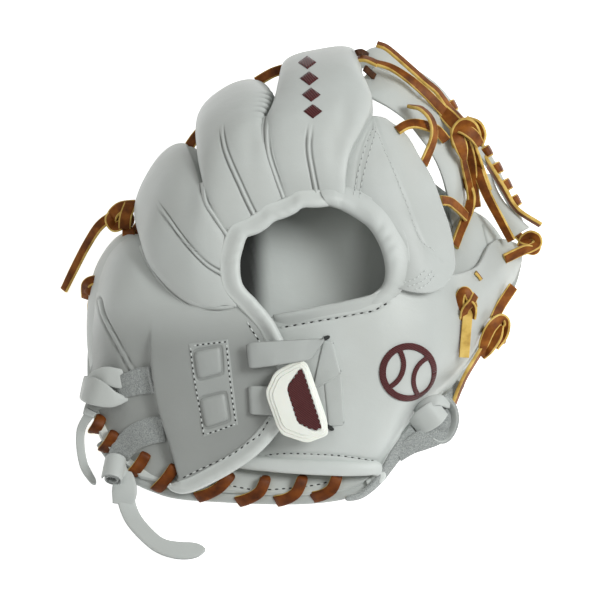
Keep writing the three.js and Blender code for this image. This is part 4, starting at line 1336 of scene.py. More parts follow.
def rolled_rim(
    name, edge, wide, rise, radius, nodes=(), pleats=0.0, skins=None, skin=SKIN, slant=0.0, dip=1.4, slim=0.0
):
    """A rim that rolls over a free edge. The skin that carries it is on the left of the edge."""
    flat = smooth_rows(edge, spread(RIM_STEPS))
    along = unit(np.gradient(softened(flat, 10), axis=0))
    outward = unit(softened(np.stack([-along[:, 1], along[:, 0]], axis=1), 20))
    wide, rise = (along_route(values, RIM_STEPS)[:, None] for values in (wide, rise))
    far = skin_under(flat + outward * (wide + LAP), skins)
    near = [skin_under(flat + outward * wide * share, skins) for share in (0.45, 0.65, 0.85)]
    near = np.max(near + [far], axis=0)
    far, near = softened(crest(far, 4), 7), softened(crest(near, 10), 12)
    run = run_along(flat)[:, None]
    fullness = 1 - slim * np.exp(-run / 3)
    wide, radius = wide * fullness, radius * fullness
    away, high = rim_profile(wide, rise, radius)
    share = np.clip(away / (wide + LAP), 0, 1)
    folds = rim_folds(run, share)
    points = np.zeros((*away.shape, 3))
    points[..., :2] = flat[:, None] + outward[:, None] * away[..., None]
    points[..., :2] -= along[:, None] * (slant * np.exp(-run / 9) * away)[..., None]
    points[..., 2] = far * share**2 + near * (1 - share**2) + high - pleats * folds
    sag = dip * np.exp(-(run[-1] - run) / (1 + dip))
    if slant:
        sag = sag + 0.8 * share * np.exp(-run / 4)
    points[..., 2] -= sag
    # Shade is painted into the pleats.
    bm = grid_mesh(points, creases=min(pleats, 0.5) * folds * 0.4)
    face_out(bm)
    finish_piece(name, bm, [skin, skin], "leather", nodes, wall=RIM_WALL, lay_on=True)
    print(name, "lies on skin", far.min().round(1), "to", near.max().round(1))


rolled_rim("hole_roll_low", LOW_EDGE, LOW_WIDE, 0.6, 1.8, skins=["thumb_back"])
# The left rim uses the back leather painted lighter.
rolled_rim(
    "hole_roll", LEFT_EDGE, LEFT_WIDE, LEFT_RISE, 2.8, ["hole_roll"],
    pleats=0.2, skin=SKIN_PAINTED_LIGHTER, dip=2.6, slim=0.75,
)
rolled_rim("hole_roll_right", RIGHT_EDGE, RIGHT_WIDE, RIGHT_RISE, 4.0, pleats=0.3, slant=0.8)

# %% [markdown]
# ## Welts between the fingers
#
# Where two fingers meet, a piped strip is sewn in between them. It could be modelled into both
# skins, but then each would need the other's shape. A narrow strip of its own, laid over the join,
# hides it as the real one does, and its edges dip under the skin on either side.

# %% Welts between the fingers
STRIP_HALF = 2.8
STRIP_SIZE = (120, 28)
WELTS = {
    "little_ring_welt": [
        (-78.5, 28), (-77.4, 25), (-73.5, 17.7), (-65.2, 7), (-56.5, 0.2), (-48.5, -3), (-40.5, -3.8),
        (-33, -3.2),
    ],
    "ring_middle_welt": [(-48.6, 58.5), (-46.8, 48.5), (-41.8, 40.5), (-36.4, 32.4)],
    "middle_index_welt": [(-15.8, 91.6), (-16.6, 84), (-15.6, 72.6), (-12, 61), (-8.2, 50.6)],
}


def welt_strip(name, route):
    """A narrow piece of skin with the piped cord down its middle. Its rim dips under the skin."""
    steps, columns = STRIP_SIZE
    flat = smooth_rows(route, spread(steps))
    along = unit(np.gradient(flat, axis=0))
    side = np.stack([along[:, 1], -along[:, 0]], axis=1)
    offsets = np.linspace(-STRIP_HALF, STRIP_HALF, columns + 1)
    edges = []
    for sign in (-1, 1):
        hits = [drop(*(place + sign * STRIP_HALF * way)) for place, way in zip(flat, side)]
        edges.append(np.array([[hit[0].z if hit else 0.0] for hit in hits]))
    low, high = (softened(edge, 5)[:, 0] for edge in edges)
    share = (offsets + STRIP_HALF) / (2 * STRIP_HALF)
    points = np.zeros((steps + 1, columns + 1, 3))
    points[..., :2] = flat[:, None] + side[:, None] * offsets[None, :, None]
    sink = 1.6 * np.exp(-spread(steps) / 0.035)[:, None]
    rim = 0.45 * np.exp(-(STRIP_HALF - np.abs(offsets)) / 0.5)[None]
    profile = welt_profile(np.abs(offsets))[None] - rim - sink
    points[..., 2] = low[:, None] * (1 - share) + high[:, None] * share + profile
    # Shade is painted into the grooves beside the cord.
    creases = np.broadcast_to(0.75 * welt_creases(np.abs(offsets))[None], points.shape[:2])
    bm = grid_mesh(points, creases=creases)
    face_out(bm)
    finish_piece(name, bm, [SKIN, SKIN], "leather", wall=1.2)


for name, route in WELTS.items():
    welt_strip(name, route)

# %% [markdown]
# ## Stitches
#
# A real seam is thick thread that comes out of one needle hole and goes into the next. A picture of stitches
# would lie flat. Each stitch is a small stretched sphere, and each hole a dark one between two stitches: a
# bead painted dark for the shade inside the hole. They have only a few dozen faces, because there are
# hundreds of them.

# %% Stitch helpers
ROW_STEPS = 400
STEP_AHEAD = 0.5


def add_bead(bm, place, turn, size):
    """One stretched sphere of a seam."""
    matrix = Matrix.Translation(place) @ turn @ Matrix.Diagonal((*size, 1))
    bmesh.ops.create_uvsphere(bm, u_segments=8, v_segments=5, radius=0.5, matrix=matrix)


def bead_row(name, rows, pitch, size, material, shift=0.0, lift=0.0):
    """Small beads laid end to end along routes: threads, or the needle holes between them."""
    bm = bmesh.new()
    count = 0
    for row in rows:
        flat = smooth_rows(row, spread(ROW_STEPS))
        run = run_along(flat)
        for place in np.arange(pitch * (0.5 + shift), run[-1], pitch):
            u, v = (np.interp(place, run, column) for column in flat.T)
            before, after = place - STEP_AHEAD, place + STEP_AHEAD
            ahead = [np.interp(after, run, column) - np.interp(before, run, column) for column in flat.T]
            hit = drop(u, v)
            if hit is None:
                continue
            out = hit[1].normalized()
            along = Vector((*ahead, 0))
            along = (along - out * along.dot(out)).normalized()
            turn = Matrix((along, out.cross(along), out)).transposed().to_4x4()
            add_bead(bm, hit[0] + out * lift, turn, size)
            count += 1
    finish_piece(name, bm, [material], "leather")
    print(name, "has", count, "beads")


def side_seams(name, lines, pitch, size, material, shift=0.0):
    """Beads along lines that already lie on the skin, for sides that no ray from above can reach."""
    bm = bmesh.new()
    for line in lines:
        run = run_along(line)
        for place in np.arange(pitch * (0.5 + shift), run[-1], pitch):
            ends = (place, place + STEP_AHEAD)
            here, there = (Vector([np.interp(end, run, column) for column in line.T]) for end in ends)
            add_bead(bm, here, (there - here).to_track_quat("X", "Z").to_matrix().to_4x4(), size)
    finish_piece(name, bm, [material], "leather")


# %% Seams
side_seams("finger_side_holes", finger_sides, 3.6, (1.5, 1.0, 1.0), FAINT_HOLE_PAINTED_SHADE, 0.5)
side_seams("finger_side_thread", finger_sides, 3.6, (2.2, 1.1, 1.1), THREAD)


def stitched(name, rows, pitch=3.6, hole=(1.5, 0.8, 0.3), thread=(2.2, 0.75, 0.7), dark=HOLE_PAINTED_SHADE):
    """A seam of holes and threads. The sizes are length, width and height in millimetres."""
    bead_row(name + "_holes", rows, pitch, hole, dark, 0.5, 0.02)
    bead_row(name + "_thread", rows, pitch, thread, THREAD, 0.0, 0.1)


stitched("hole_seam", [HOLE_SEAM], 4.2, (1.9, 1.0, 0.4))
stitched("wrist_seam", [WRIST_SEAM], 3.4)
stitched("crotch_seams", [
    [(37.8, 88), (34, 80), (31, 72), (28.5, 62), (26.7, 52.3)],
    [(38.5, 87), (36.5, 80), (33.5, 70), (31, 60), (29.5, 51)],
], 3.2, (1.1, 0.7, 0.3), (2.0, 0.6, 0.5), FAINT_HOLE_PAINTED_SHADE)
stitched("crotch_curve", [
    [(38.5, 84), (42.8, 72.6), (45.5, 67), (48.4, 59.5), (53.3, 46.7), (57, 36), (60.5, 29), (67, 24.5)],
], 3.4, (0.8, 0.5, 0.2), (2.0, 0.5, 0.35), FAINT_HOLE_PAINTED_SHADE)
bead_row("crotch_foot_stitches", [
    [(51, 8.5), (57, 10.5), (63, 15.5)],
    [(53, 6.5), (60, 9), (66, 14.5)],
    [(56.5, 5), (62.5, 7.5), (67.5, 13)],
], 2.3, (1.5, 0.6, 0.5), THREAD, lift=0.2)
stitched("flap_seam", [
    [(-14.5, -58), (-20, -67), (-25, -70.5), (-35, -77.5), (-50, -84.5), (-59, -89)],
    [(-26.6, -10), (-24.5, -14), (-21.5, -18.5), (-19, -22.5)],
], 3.6, (1.7, 0.9, 0.35))
stitched("heel_seam", [
    [(-36, -92.4), (-22.5, -94.6), (-5.8, -94), (8.5, -92.2), (15, -90.4)],
], 3.5, (2.3, 0.8, 0.4))

# %% [markdown]
# ## Window patch
#
# A small patch on the flap has two padded panes with a deep groove round each. Insets and bevels
# on a plate would give flat panes with hard corners. So the patch is a grid over the flap, and
# each point rises or sinks by how far it lies inside the patch's or a pane's outline.

# %% Shapes with straight sides


def between(corners, s, t):
    """Places inside four corners. The shares s and t run across and down."""
    top = np.array(corners[0]) * (1 - s)[..., None] + np.array(corners[1]) * s[..., None]
    low = np.array(corners[3]) * (1 - s)[..., None] + np.array(corners[2]) * s[..., None]
    return top * (1 - t)[..., None] + low * t[..., None]


def inside_shape(flat, corners, blend=0.05):
    """How far a place lies inside a shape, in millimetres. A larger blend rounds its corners."""
    near = np.zeros(flat.shape[:-1])
    for a, b in zip(corners, corners[1:] + corners[:1]):
        leg = np.subtract(b, a)
        inward = np.array([leg[1], -leg[0]]) / np.linalg.norm(leg)
        near = near + np.exp(-np.clip(((flat - np.array(a)) * inward).sum(-1) / blend, -300, 300))
    return -blend * np.log(near)


# %% Window patch
PATCH_CORNERS = [(-56, -21.6), (-35.6, -19.2), (-30.6, -62.4), (-48.8, -68.9)]
PANES = [
    [(-53.4, -25.4), (-39.2, -22.6), (-38.2, -36.6), (-51, -40)],
    [(-50.6, -49), (-37, -45.6), (-34.8, -60.2), (-47.4, -64.4)],
]
PATCH_SIZE = (110, 60)
PANE_HIGH = 1.2
PANE_ROUND = 0.9


def window_patch():
    t, s = np.meshgrid(spread(PATCH_SIZE[0]), spread(PATCH_SIZE[1]), indexing="ij")
    flat = between(PATCH_CORNERS, s, t)
    height = np.array([[drop(*place)[0].z for place in line] for line in flat])
    depth = inside_shape(flat, PATCH_CORNERS)
    lift = 0.5 - 0.7 * np.exp(-depth / 0.6)
    # Painted shade: the whole patch is painted a little darker, as the flap under it is, and the grooves
    # round the panes darker still.
    shade = np.full(depth.shape, 0.4)
    for pane in PANES:
        within = inside_shape(flat, pane, PANE_ROUND)
        lift += PANE_HIGH / (1 + np.exp(-(within - 0.9) / 0.4)) - PANE_HIGH * bell(within, 0.55)
        lift += 0.6 * np.clip(within / 5, 0, 1)
        shade = np.maximum(shade, 0.98 * bell(within, 0.62))
    bm = grid_mesh(np.concatenate([flat, (height + lift)[..., None]], axis=2), creases=shade)
    face_out(bm)
    finish_piece("window_patch", bm, [SKIN], "leather", ["window_patch"], wall=0.8, lay_on=True)


window_patch()
stitched("patch_seam", [
    [(-54.6, -23), (-52.8, -38), (-50.2, -53), (-48, -67)],
    [(-53.6, -22.8), (-46, -21.8), (-37, -20.8)],
    [(-36.6, -21.6), (-35.2, -36), (-33.6, -50), (-32, -61)],
    [(-47.2, -67), (-40, -64.6), (-32.4, -61.8)],
], 2.75, (1.15, 0.95, 0.4), (1.5, 0.9, 0.5))

# %% [markdown]
# ## Wrist strap
#
# A smooth strap comes out of a slot in the flap and runs under the tab to a suede anchor on the
# thumb side. Flat boxes would float off the curved skin or cut into it. Each plate is a grid that
# takes the height of the skin under it, smoothed so that it bridges the hollows as stiff leather
# does, and rounded off along its edges.

# %% Plates on the skin
STRAP_TUCK = 0.03
CORNER_ROUND = 9


def laid_plate(
    name, corners, size, lift, thick, material, nodes=(), crown=0.0, reach=2, tuck=0.0, line=0.45, clear=0.0
):
    """A four-sided plate of leather that follows the skin under it."""
    t, s = np.meshgrid(spread(size[0]), spread(size[1]), indexing="ij")
    corner = np.abs((2 * s - 1) * (2 * t - 1)) ** CORNER_ROUND
    flat = between(corners, 0.5 + (s - 0.5) * (1 - 0.08 * corner), 0.5 + (t - 0.5) * (1 - 0.13 * corner))
    hits = [[drop(*place) for place in row] for row in flat]
    skin = np.array([[hit[0].z if hit else 0.0 for hit in row] for row in hits])
    height = softened(softened(skin, reach).T, reach).T
    height = height + clear * np.maximum(skin - height, 0).max()
    depth = inside_shape(flat, corners)
    height = height + lift + thick + crown * np.sin(np.pi * np.clip(s, 0, 1)) - 0.5 * np.exp(-depth / 0.35)
    height = height - tuck * np.exp(-s / STRAP_TUCK)
    # The plate's rim is painted darker, partly for the leather's darker cut edge and partly as shade; the end
    # tucked into a slot gets painted shade.
    shade = line * np.exp(-depth / 0.3) + (0.5 * np.exp(-s / 0.02) if tuck else 0)
    bm = grid_mesh(np.concatenate([flat, height[..., None]], axis=2), creases=shade)
    face_out(bm)
    finish_piece(name, bm, [material, material], "suede", nodes, wall=thick, lay_on=True)


# %% Strap
ANCHOR_TOP = [(11.6, -19.6), (16.4, -20.6), (20.6, -37), (6, -45)]
ANCHOR_LOW = [(11.6, -38), (20.4, -33.6), (22.4, -62.5), (14, -63)]
UPPER_STRAP = [(-27, -21), (13.2, -18.8), (5.2, -30), (-25.6, -34.4)]
LOWER_STRAP = [(-26.2, -42.4), (-6, -43), (-6, -57.6), (-25.4, -57)]
laid_plate("strap_anchor_low", ANCHOR_LOW, (40, 24), -0.2, 0.8, SOFT, line=0.1)
laid_plate("strap_anchor", ANCHOR_TOP, (40, 30), 0.0, 0.9, SOFT, ["strap_anchor"], reach=6, line=0.15)
laid_plate(
    "lower_strap", LOWER_STRAP, (30, 30), 0.8, 1.8, STRAP_SKIN, ["lower_strap"], crown=1.0, reach=6, tuck=2.5
)
laid_plate(
    "upper_strap", UPPER_STRAP, (40, 80), 0.8, 1.8, STRAP_SKIN, ["upper_strap"],
    crown=1.2, reach=26, tuck=2.0, clear=0.85,
)

# %% Slots of the strap
SLOTS = ((12.9, -18.9, 25), (15, -63.6, -30))
SLOT_SIZE = (2.2, 1.1, 0.5, 1)


def slots():
    """Dark beads in the slots that the strap goes through, painted dark for the shade inside them."""
    bm = bmesh.new()
    for u, v, degrees in SLOTS:
        place = drop(u, v)[0] + Vector((0, 0, 0.5))
        turn = Matrix.Rotation(math.radians(degrees), 4, "Z")
        matrix = Matrix.Translation(place) @ turn @ Matrix.Diagonal(SLOT_SIZE)
        bmesh.ops.create_uvsphere(bm, u_segments=16, v_segments=8, radius=1, matrix=matrix)
    finish_piece("strap_slots", bm, [HOLE_PAINTED_SHADE], "suede")


slots()

# %% [markdown]
# ## Pull tab
#
# The tab is rubber, moulded in steps round a woven insert with a pinked edge. One block with bevels
# would round every corner alike. Here the frame is a stack of outlines bridged one to the next,
# each set in a little from the last, which is how a mould is cut. The insert is a flat plate cut to
# a saw-toothed outline, with its upper rim bevelled.

# %% Outlines of the tab
TAB_OUTLINE = [
    (0, -29), (-12.5, -35.5), (-17.5, -46), (-10, -66.5), (3.5, -71), (14, -67), (13.5, -59.5), (4, -32),
]
INSERT_OUTLINE = [(0, -35), (-6, -44), (-1, -60), (6.5, -64), (10.5, -63), (1.5, -35.5)]
TAB_LOW = 23
TAB_HIGH = 27.4
TAB_STEP = 2.0
OUTLINE_POINTS = 12
CORNER_SHARE = 0.22


def arc_point(start, pull, stop, t):
    """A place on the arc from start to stop that leans towards pull."""
    return (1 - t) ** 2 * start + 2 * t * (1 - t) * pull + t**2 * stop


def grown(outline, by):
    """An outline moved outwards, or inwards with a minus sign."""
    middle = np.mean(outline, axis=0)
    legs = [np.array(corner) - middle for corner in outline]
    return [tuple(middle + leg * (1 + by / np.linalg.norm(leg))) for leg in legs]


def smooth_outline(outline):
    """Corners of an outline rounded, with the same number of points on each."""
    points = []
    count = len(outline)
    for k in range(count):
        before, here, after = (np.array(outline[(k + d) % count], float) for d in (-1, 0, 1))
        start, stop = here + (before - here) * CORNER_SHARE, here + (after - here) * CORNER_SHARE
        points += [arc_point(start, here, stop, t) for t in np.linspace(0, 1, OUTLINE_POINTS // 2)]
    return points


def ring_plate(outer, inner, low, high, step_down):
    """A moulded frame: the outer wall, two steps up to its face and the wall of its window."""
    loops = [
        (outer, low), (outer, high - step_down), (grown(outer, -0.5), high - 0.8 * step_down),
        (grown(outer, -1.7), high - 0.72 * step_down), (grown(outer, -2.1), high - 0.4 * step_down),
        (grown(outer, -3.5), high - 0.32 * step_down), (grown(outer, -3.9), high),
        (grown(inner, 0.6), high + 0.1), (inner, high - 0.5), (inner, low + 0.8),
    ]
    bm = bmesh.new()
    rings = []
    for outline, height in loops:
        ring = [bm.verts.new((u, v, height)) for u, v in smooth_outline(outline)]
        rings.append([bm.edges.new((ring[k], ring[(k + 1) % len(ring)])) for k in range(len(ring))])
    for low_ring, high_ring in zip(rings, rings[1:]):
        bmesh.ops.bridge_loops(bm, edges=low_ring + high_ring)
    bmesh.ops.recalc_face_normals(bm, faces=bm.faces)
    return bm


# %% Pull tab
tab = ring_plate(TAB_OUTLINE, grown(INSERT_OUTLINE, 1.1), TAB_LOW, TAB_HIGH, TAB_STEP)
tab = finish_piece("pull_tab", tab, [RUBBER], "pull_rubber", ["pull_tab"])
crisp = tab.modifiers.new("crisp", "EDGE_SPLIT")
crisp.split_angle = math.radians(24)

# %% Woven insert
TOOTH_WIDE = 1.3
TOOTH_HIGH = 0.45


def saw_edge(outline):
    """The same outline with pinked sides: each side is cut into teeth of about one width."""
    saw = []
    for start, stop in zip(outline, outline[1:] + outline[:1]):
        length = math.dist(start, stop)
        teeth = max(2, round(length / TOOTH_WIDE))
        way = np.subtract(stop, start) / length
        outward = np.array([way[1], -way[0]])
        for k in range(teeth):
            t = k / teeth
            place = np.array(start) * (1 - t) + np.array(stop) * t
            saw.append(tuple(place + outward * (TOOTH_HIGH if k % 2 else -TOOTH_HIGH)))
    return saw


def outline_plate(outline, low, high, bevel, steps):
    """A flat plate cut to an outline, with its upper rim rounded."""
    bm = bmesh.new()
    base = bm.faces.new([bm.verts.new((u, v, low)) for u, v in outline])
    raised = bmesh.ops.extrude_face_region(bm, geom=[base])["geom"]
    lid = [item for item in raised if isinstance(item, bmesh.types.BMVert)]
    bmesh.ops.translate(bm, verts=lid, vec=(0, 0, high - low))
    bmesh.ops.recalc_face_normals(bm, faces=bm.faces)
    rim = [edge for edge in bm.edges if sum(vert.co.z > (low + high) / 2 for vert in edge.verts) >= 1]
    bmesh.ops.bevel(bm, geom=rim, offset=bevel, segments=steps, profile=0.5, affect="EDGES", material=-1)
    return bm


insert = outline_plate(saw_edge(grown(INSERT_OUTLINE, 0.7)), TAB_LOW + 0.6, TAB_HIGH - 0.3, 0.2, 2)
finish_piece("tab_insert", insert, [MAROON], "insert", ["tab_insert"], smooth=False)

# %% [markdown]
# ## Hand thongs
#
# Two suede bands come from under the flap, and one from the heel. Each is knotted, and its smooth
# side shows in the knot and in the tail. The bands lie on the skin, so they are laid with rays.

# %% Thongs
UPPER_THONG = [(-73.4, -39.8), (-80, -40.6), (-91, -44)]
LOWER_THONG = [(-68, -64.4), (-75, -65.5), (-83, -69), (-89.5, -76), (-92, -83)]
UNDER_FLAP = {"lift": 0.6, "reach": 5}
laid_ribbon("upper_thong", UPPER_THONG, [14, 13.5, 11], 2, ROUGH_THONG, ["upper_thong"], **UNDER_FLAP)
laid_ribbon("lower_thong", LOWER_THONG, [13, 13.5, 13, 12, 10], 2, ROUGH_THONG, ["lower_thong"], **UNDER_FLAP)

# %% [markdown]
# A knot could be simulated from a long band, but it would not settle into the shape that the
# photograph shows. Here each visible loop is a short strand of its own, wound over a hidden core
# that fills the knot, and the strands' ends are tucked into one another.

# %% Knot helpers


def wrap(centre, axis, across, high, wide, thick, lean=0.0, steps=40):
    """A flat band wound once round a knot. The axis is its direction in degrees on the layout."""
    direction = np.array([math.cos(math.radians(axis)), math.sin(math.radians(axis)), 0])
    sideways = np.array([-direction[1], direction[0], 0])
    turns = np.linspace(0, 2 * math.pi, 13)
    rise = np.array([0, 0, high])
    route = [
        np.array(centre) + sideways * across * math.cos(t) + rise * math.sin(t)
        + direction * lean * math.cos(t)
        for t in turns
    ]
    line_turns = np.linspace(0, 2 * math.pi, steps + 1)[:, None]
    up = sideways * np.cos(line_turns) * high + np.array([0, 0, across]) * np.sin(line_turns)
    return ribbon_mesh(route, wide, thick, up=unit(up), steps=steps, closed=True, power=4)


def rolled_up(centre, axis, tilt, radius, wide, thick, turns=1.9, steps=90):
    """A band rolled into a tube, so that its end shows a spiral. Angles are in degrees."""
    axis, tilt = math.radians(axis), math.radians(tilt)
    heading = np.array([math.cos(axis) * math.cos(tilt), math.sin(axis) * math.cos(tilt), math.sin(tilt)])
    first = np.array([-math.sin(axis), math.cos(axis), 0])
    second = np.cross(heading, first)
    turn = 2 * np.pi * turns * spread(steps)[:, None]
    out = first * np.cos(turn) + second * np.sin(turn)
    route = np.array(centre) + out * radius * (1 - 0.6 * spread(steps)[:, None])
    return ribbon_mesh(route, wide, thick, up=out, steps=steps, power=4)


def core(centre, size, axis=0, suede=False):
    """The lump inside a knot, which closes the gaps between its strands."""
    bm = bmesh.new()
    turn = Matrix.Rotation(math.radians(axis), 4, "Z")
    matrix = Matrix.Translation(centre) @ turn @ Matrix.Diagonal((*size, 1))
    bmesh.ops.create_uvsphere(bm, u_segments=24, v_segments=14, radius=1, matrix=matrix)
    for face in bm.faces:
        face.material_index = int(suede)
    return bm


def strand(route, wide, thick, **shape):
    """One visible loop of a knot."""
    return ribbon_mesh(route, wide, thick, **{"steps": 40, "power": 4, **shape})


def knot(name, parts, kind):
    return finish_piece(name, joined(parts), kind["materials"], kind["slot"], [name])


# %% Thong knots
knot("upper_thong_knot", [
    strand(
        [(-87, -39.6, -0.6), (-91, -39.2, 0.8), (-97, -37.8, 0.8), (-102, -38.6, -2), (-104.6, -41, -5)],
        [9, 10, 9, 7, 5], 2,
    ),
    strand(
        [(-108.8, -44, -12), (-107, -44.4, -4), (-102, -46.2, 1.6), (-94, -49.4, 2), (-85.8, -49.6, -1.5)],
        [12, 13, 13.4, 9, 1.5], 2.2,
    ),
    strand([(-100, -50, -5), (-104, -53, -5), (-106, -58, -5)], [9, 7, 6], 2),
    core((-98, -44.6, -5.5), (7.5, 6, 4.5)),
], THONG)
knot("lower_thong_knot", [
    strand([(-88.6, -85, 1), (-87.8, -90, 4.4), (-87.6, -96, 6), (-88.4, -102, 5.4)], [7, 11, 12.6, 10.4], 2),
    rolled_up((-92.6, -84.6, 5), 79, -32, 5.2, 13, 1.3),
    core((-89.5, -88, 2), (3.6, 8, 3)),
], THONG)
knot("thumb_thong_knot", [
    strand(
        [(66, -67, 0), (72, -68.6, -2), (76, -62.6, -2), (76, -55.6, -2), (72.6, -51, -1), (67, -51, 1)],
        9, 2, turn=52,
    ),
    strand([(57.5, -63.6, 1.5), (61.4, -60.6, 5), (66.4, -57, 6.4), (70.6, -53.6, 4)], [9, 12, 12.5, 10], 2),
    strand([(58.5, -57, 0), (62.6, -52.4, 4), (68.6, -50, 4.6), (74.6, -52, 0.6)], [5, 6, 6, 5], 2, turn=24),
    strand(
        [(74, -63, -3), (69, -67, 1), (62, -69.6, 3.4), (55, -73, 4.6), (48.6, -78, 5.4)],
        [7, 10, 10.4, 8.6, 6.4], 2, turn=182,
    ),
    strand([(73, -53, -4), (76.4, -47.6, -8), (80.6, -42, -13)], 5, 1.8, turn=180),
    core((68.5, -60, -2), (7.4, 8, 5), suede=True),
], THONG)

# %% [markdown]
# ## Tan laces and their knots
#
# Laces tie the fingertips together, run through the web and bind the heel. Their knots are made as
# the thongs' knots are, from narrower strands whose cut edges show pale.

# %% Web knot


def tan(route, wide, thick, **shape):
    """A strand of a tan knot, with its cut edges bare."""
    return strand(route, wide, thick, bare=LACE_BARE, **shape)


knot("web_knot", [
    tan(
        [(71.6, 96.2, -27), (75.4, 91.8, -23), (78.6, 88.4, -19.6), (83, 86, -15.8), (87.6, 82.4, -16.4),
         (90.6, 78.4, -20.6)],
        [6.4, 7.8, 8, 6.8, 6.2, 5], 2, turn=(-6, 0, 10, 18, 16),
    ),
    tan(
        [(78.8, 77.6, -23), (78.4, 82, -18.6), (79.6, 86, -16.2), (82.6, 88.4, -15.6), (86.2, 87.2, -16.6),
         (88.4, 83, -19.6), (88.6, 79, -23)],
        [5, 6, 6.6, 7, 6.6, 6, 5], 2, turn=-24,
    ),
    tan(
        [(78, 86.6, -20.6), (79.4, 81.6, -17), (81.4, 75.8, -17.6), (82.6, 70.8, -21)],
        [5.6, 7.4, 6.6, 3], 2, turn=12,
    ),
    tan([(84, 90.6, -22), (89.4, 88.4, -19), (91.8, 83.6, -20), (90.6, 78.4, -24)], 4.6, 2, turn=-35),
    tan(
        [(84, 81, -18.6), (85.4, 75.4, -24.6), (86.8, 69, -31.6), (88, 58, -35), (89.6, 47, -36.6)],
        [4.4, 4.8, 4.8, 4.6, 4.2], 1.9, turn=(-38, -20, -12, 6),
    ),
    tan([(86, 81, -22), (89, 73, -29), (92.4, 64, -36), (95.6, 56, -41)], [4, 4.8, 4.6, 4], 1.9, turn=-48),
    tan([(81.4, 74, -22), (83.4, 66, -27), (85.6, 57, -33), (87, 46, -38)], [3, 4, 4, 4], 1.9, turn=30),
    core((82.6, 83.4, -24), (5.6, 7, 4)),
], LACE)

# %% Thumb knots
knot("thumb_tip_knot", [
    tan(
        [(112, 27.6, -45), (113.6, 31.2, -41), (116.8, 33, -38.6), (120, 31.6, -37.4), (120.4, 28.4, -37),
         (117, 26.4, -36.4), (112, 24.4, -35.8)],
        [4, 4.6, 4.8, 4.6, 4.4, 4.6, 4.4], 1.8, turn=(-16, -24, -30, -20, 0),
    ),
    tan([(110.6, 33, -46), (113.2, 30.4, -42), (117.4, 29.6, -40), (121, 30.6, -41)], 4.4, 1.8, turn=20),
    core((117, 29.8, -41.4), (3, 2.8, 2.2)),
], LACE)
knot("thumb_knot", [
    tan(
        [(80.4, -9, 2.6), (79.6, -3, 5), (80.2, 2.6, 6), (82.6, 4.4, 6), (85, 1, 5.4), (86.6, -4, 4.6)],
        [4.6, 5, 5, 5, 5, 4.6], 1.8, turn=18,
    ),
    tan([(81.4, -9.4, 4), (82.4, -5, 7), (85.6, -1, 7), (87.4, 2.4, 4)], 4.2, 1.7, turn=-30),
    tan([(86.4, -9, 3), (86.6, -4, 6), (84, -0.4, 6.6)], 3.8, 1.6, turn=40),
    core((83, -3, 2.5), (3, 4.2, 2)),
], LACE)
knot("thumb_side_knot", [
    tan(
        [(91.4, -27.6, -15), (92.6, -21, -11), (96, -13.6, -9), (100.6, -9.6, -11), (103.4, -11.6, -14),
         (102.4, -17.6, -15), (98, -24, -15)],
        [3.6, 5.6, 6, 5.6, 5, 5, 4], 1.9, turn=(-14, -14, -20, -34, -20),
    ),
    tan(
        [(92, -28.4, -17), (95, -24, -12.6), (98.6, -18.4, -11), (100.6, -13, -13)],
        [3.6, 6, 6, 4], 1.9, turn=22,
    ),
    tan([(98, -8, -16), (101.6, -8.4, -13), (103.4, -12, -13.4), (101.6, -14.6, -14)], 3.2, 1.6, turn=60),
    core((97.4, -18, -16), (3.4, 7, 4), 60),
], LACE)

# %% Little finger knots
knot("pinky_far_knot", [
    tan([(-83, 48, -36), (-90, 47, -29), (-94, 44, -29), (-95.6, 40, -33)], 6, 1.9, turn=-20),
    tan([(-88.5, 36, -27), (-88, 42, -26), (-86, 48, -30)], 6.4, 1.9),
    wrap((-86.4, 32, -29), 190, 3.6, 4, 6.4, 1.9, lean=0.5),
    tan([(-93, 45, -32), (-96, 41, -30), (-94, 37, -31), (-90, 38, -29)], 5.4, 1.9, turn=14),
    core((-88.6, 40.6, -33), (5, 5.6, 4)),
], LACE)
knot("pinky_near_knot", [
    tan([(-108.5, 1, -40), (-108, 8, -33), (-103, 10, -31), (-99, 6, -32), (-101, 1, -34)], 5, 1.8, turn=22),
    wrap((-104, 4, -36), 80, 4.4, 4, 5.4, 1.8, lean=1.4),
    core((-104, 6, -37), (4.2, 4.6, 3.4)),
], LACE)

# %% [markdown]
# ## Short laces
#
# Between the knots and holes only short runs of lace are seen. Each could be bent from one long
# lace, but what runs hidden inside the leather would never be seen, so each run is made alone and
# ends just under the skin.

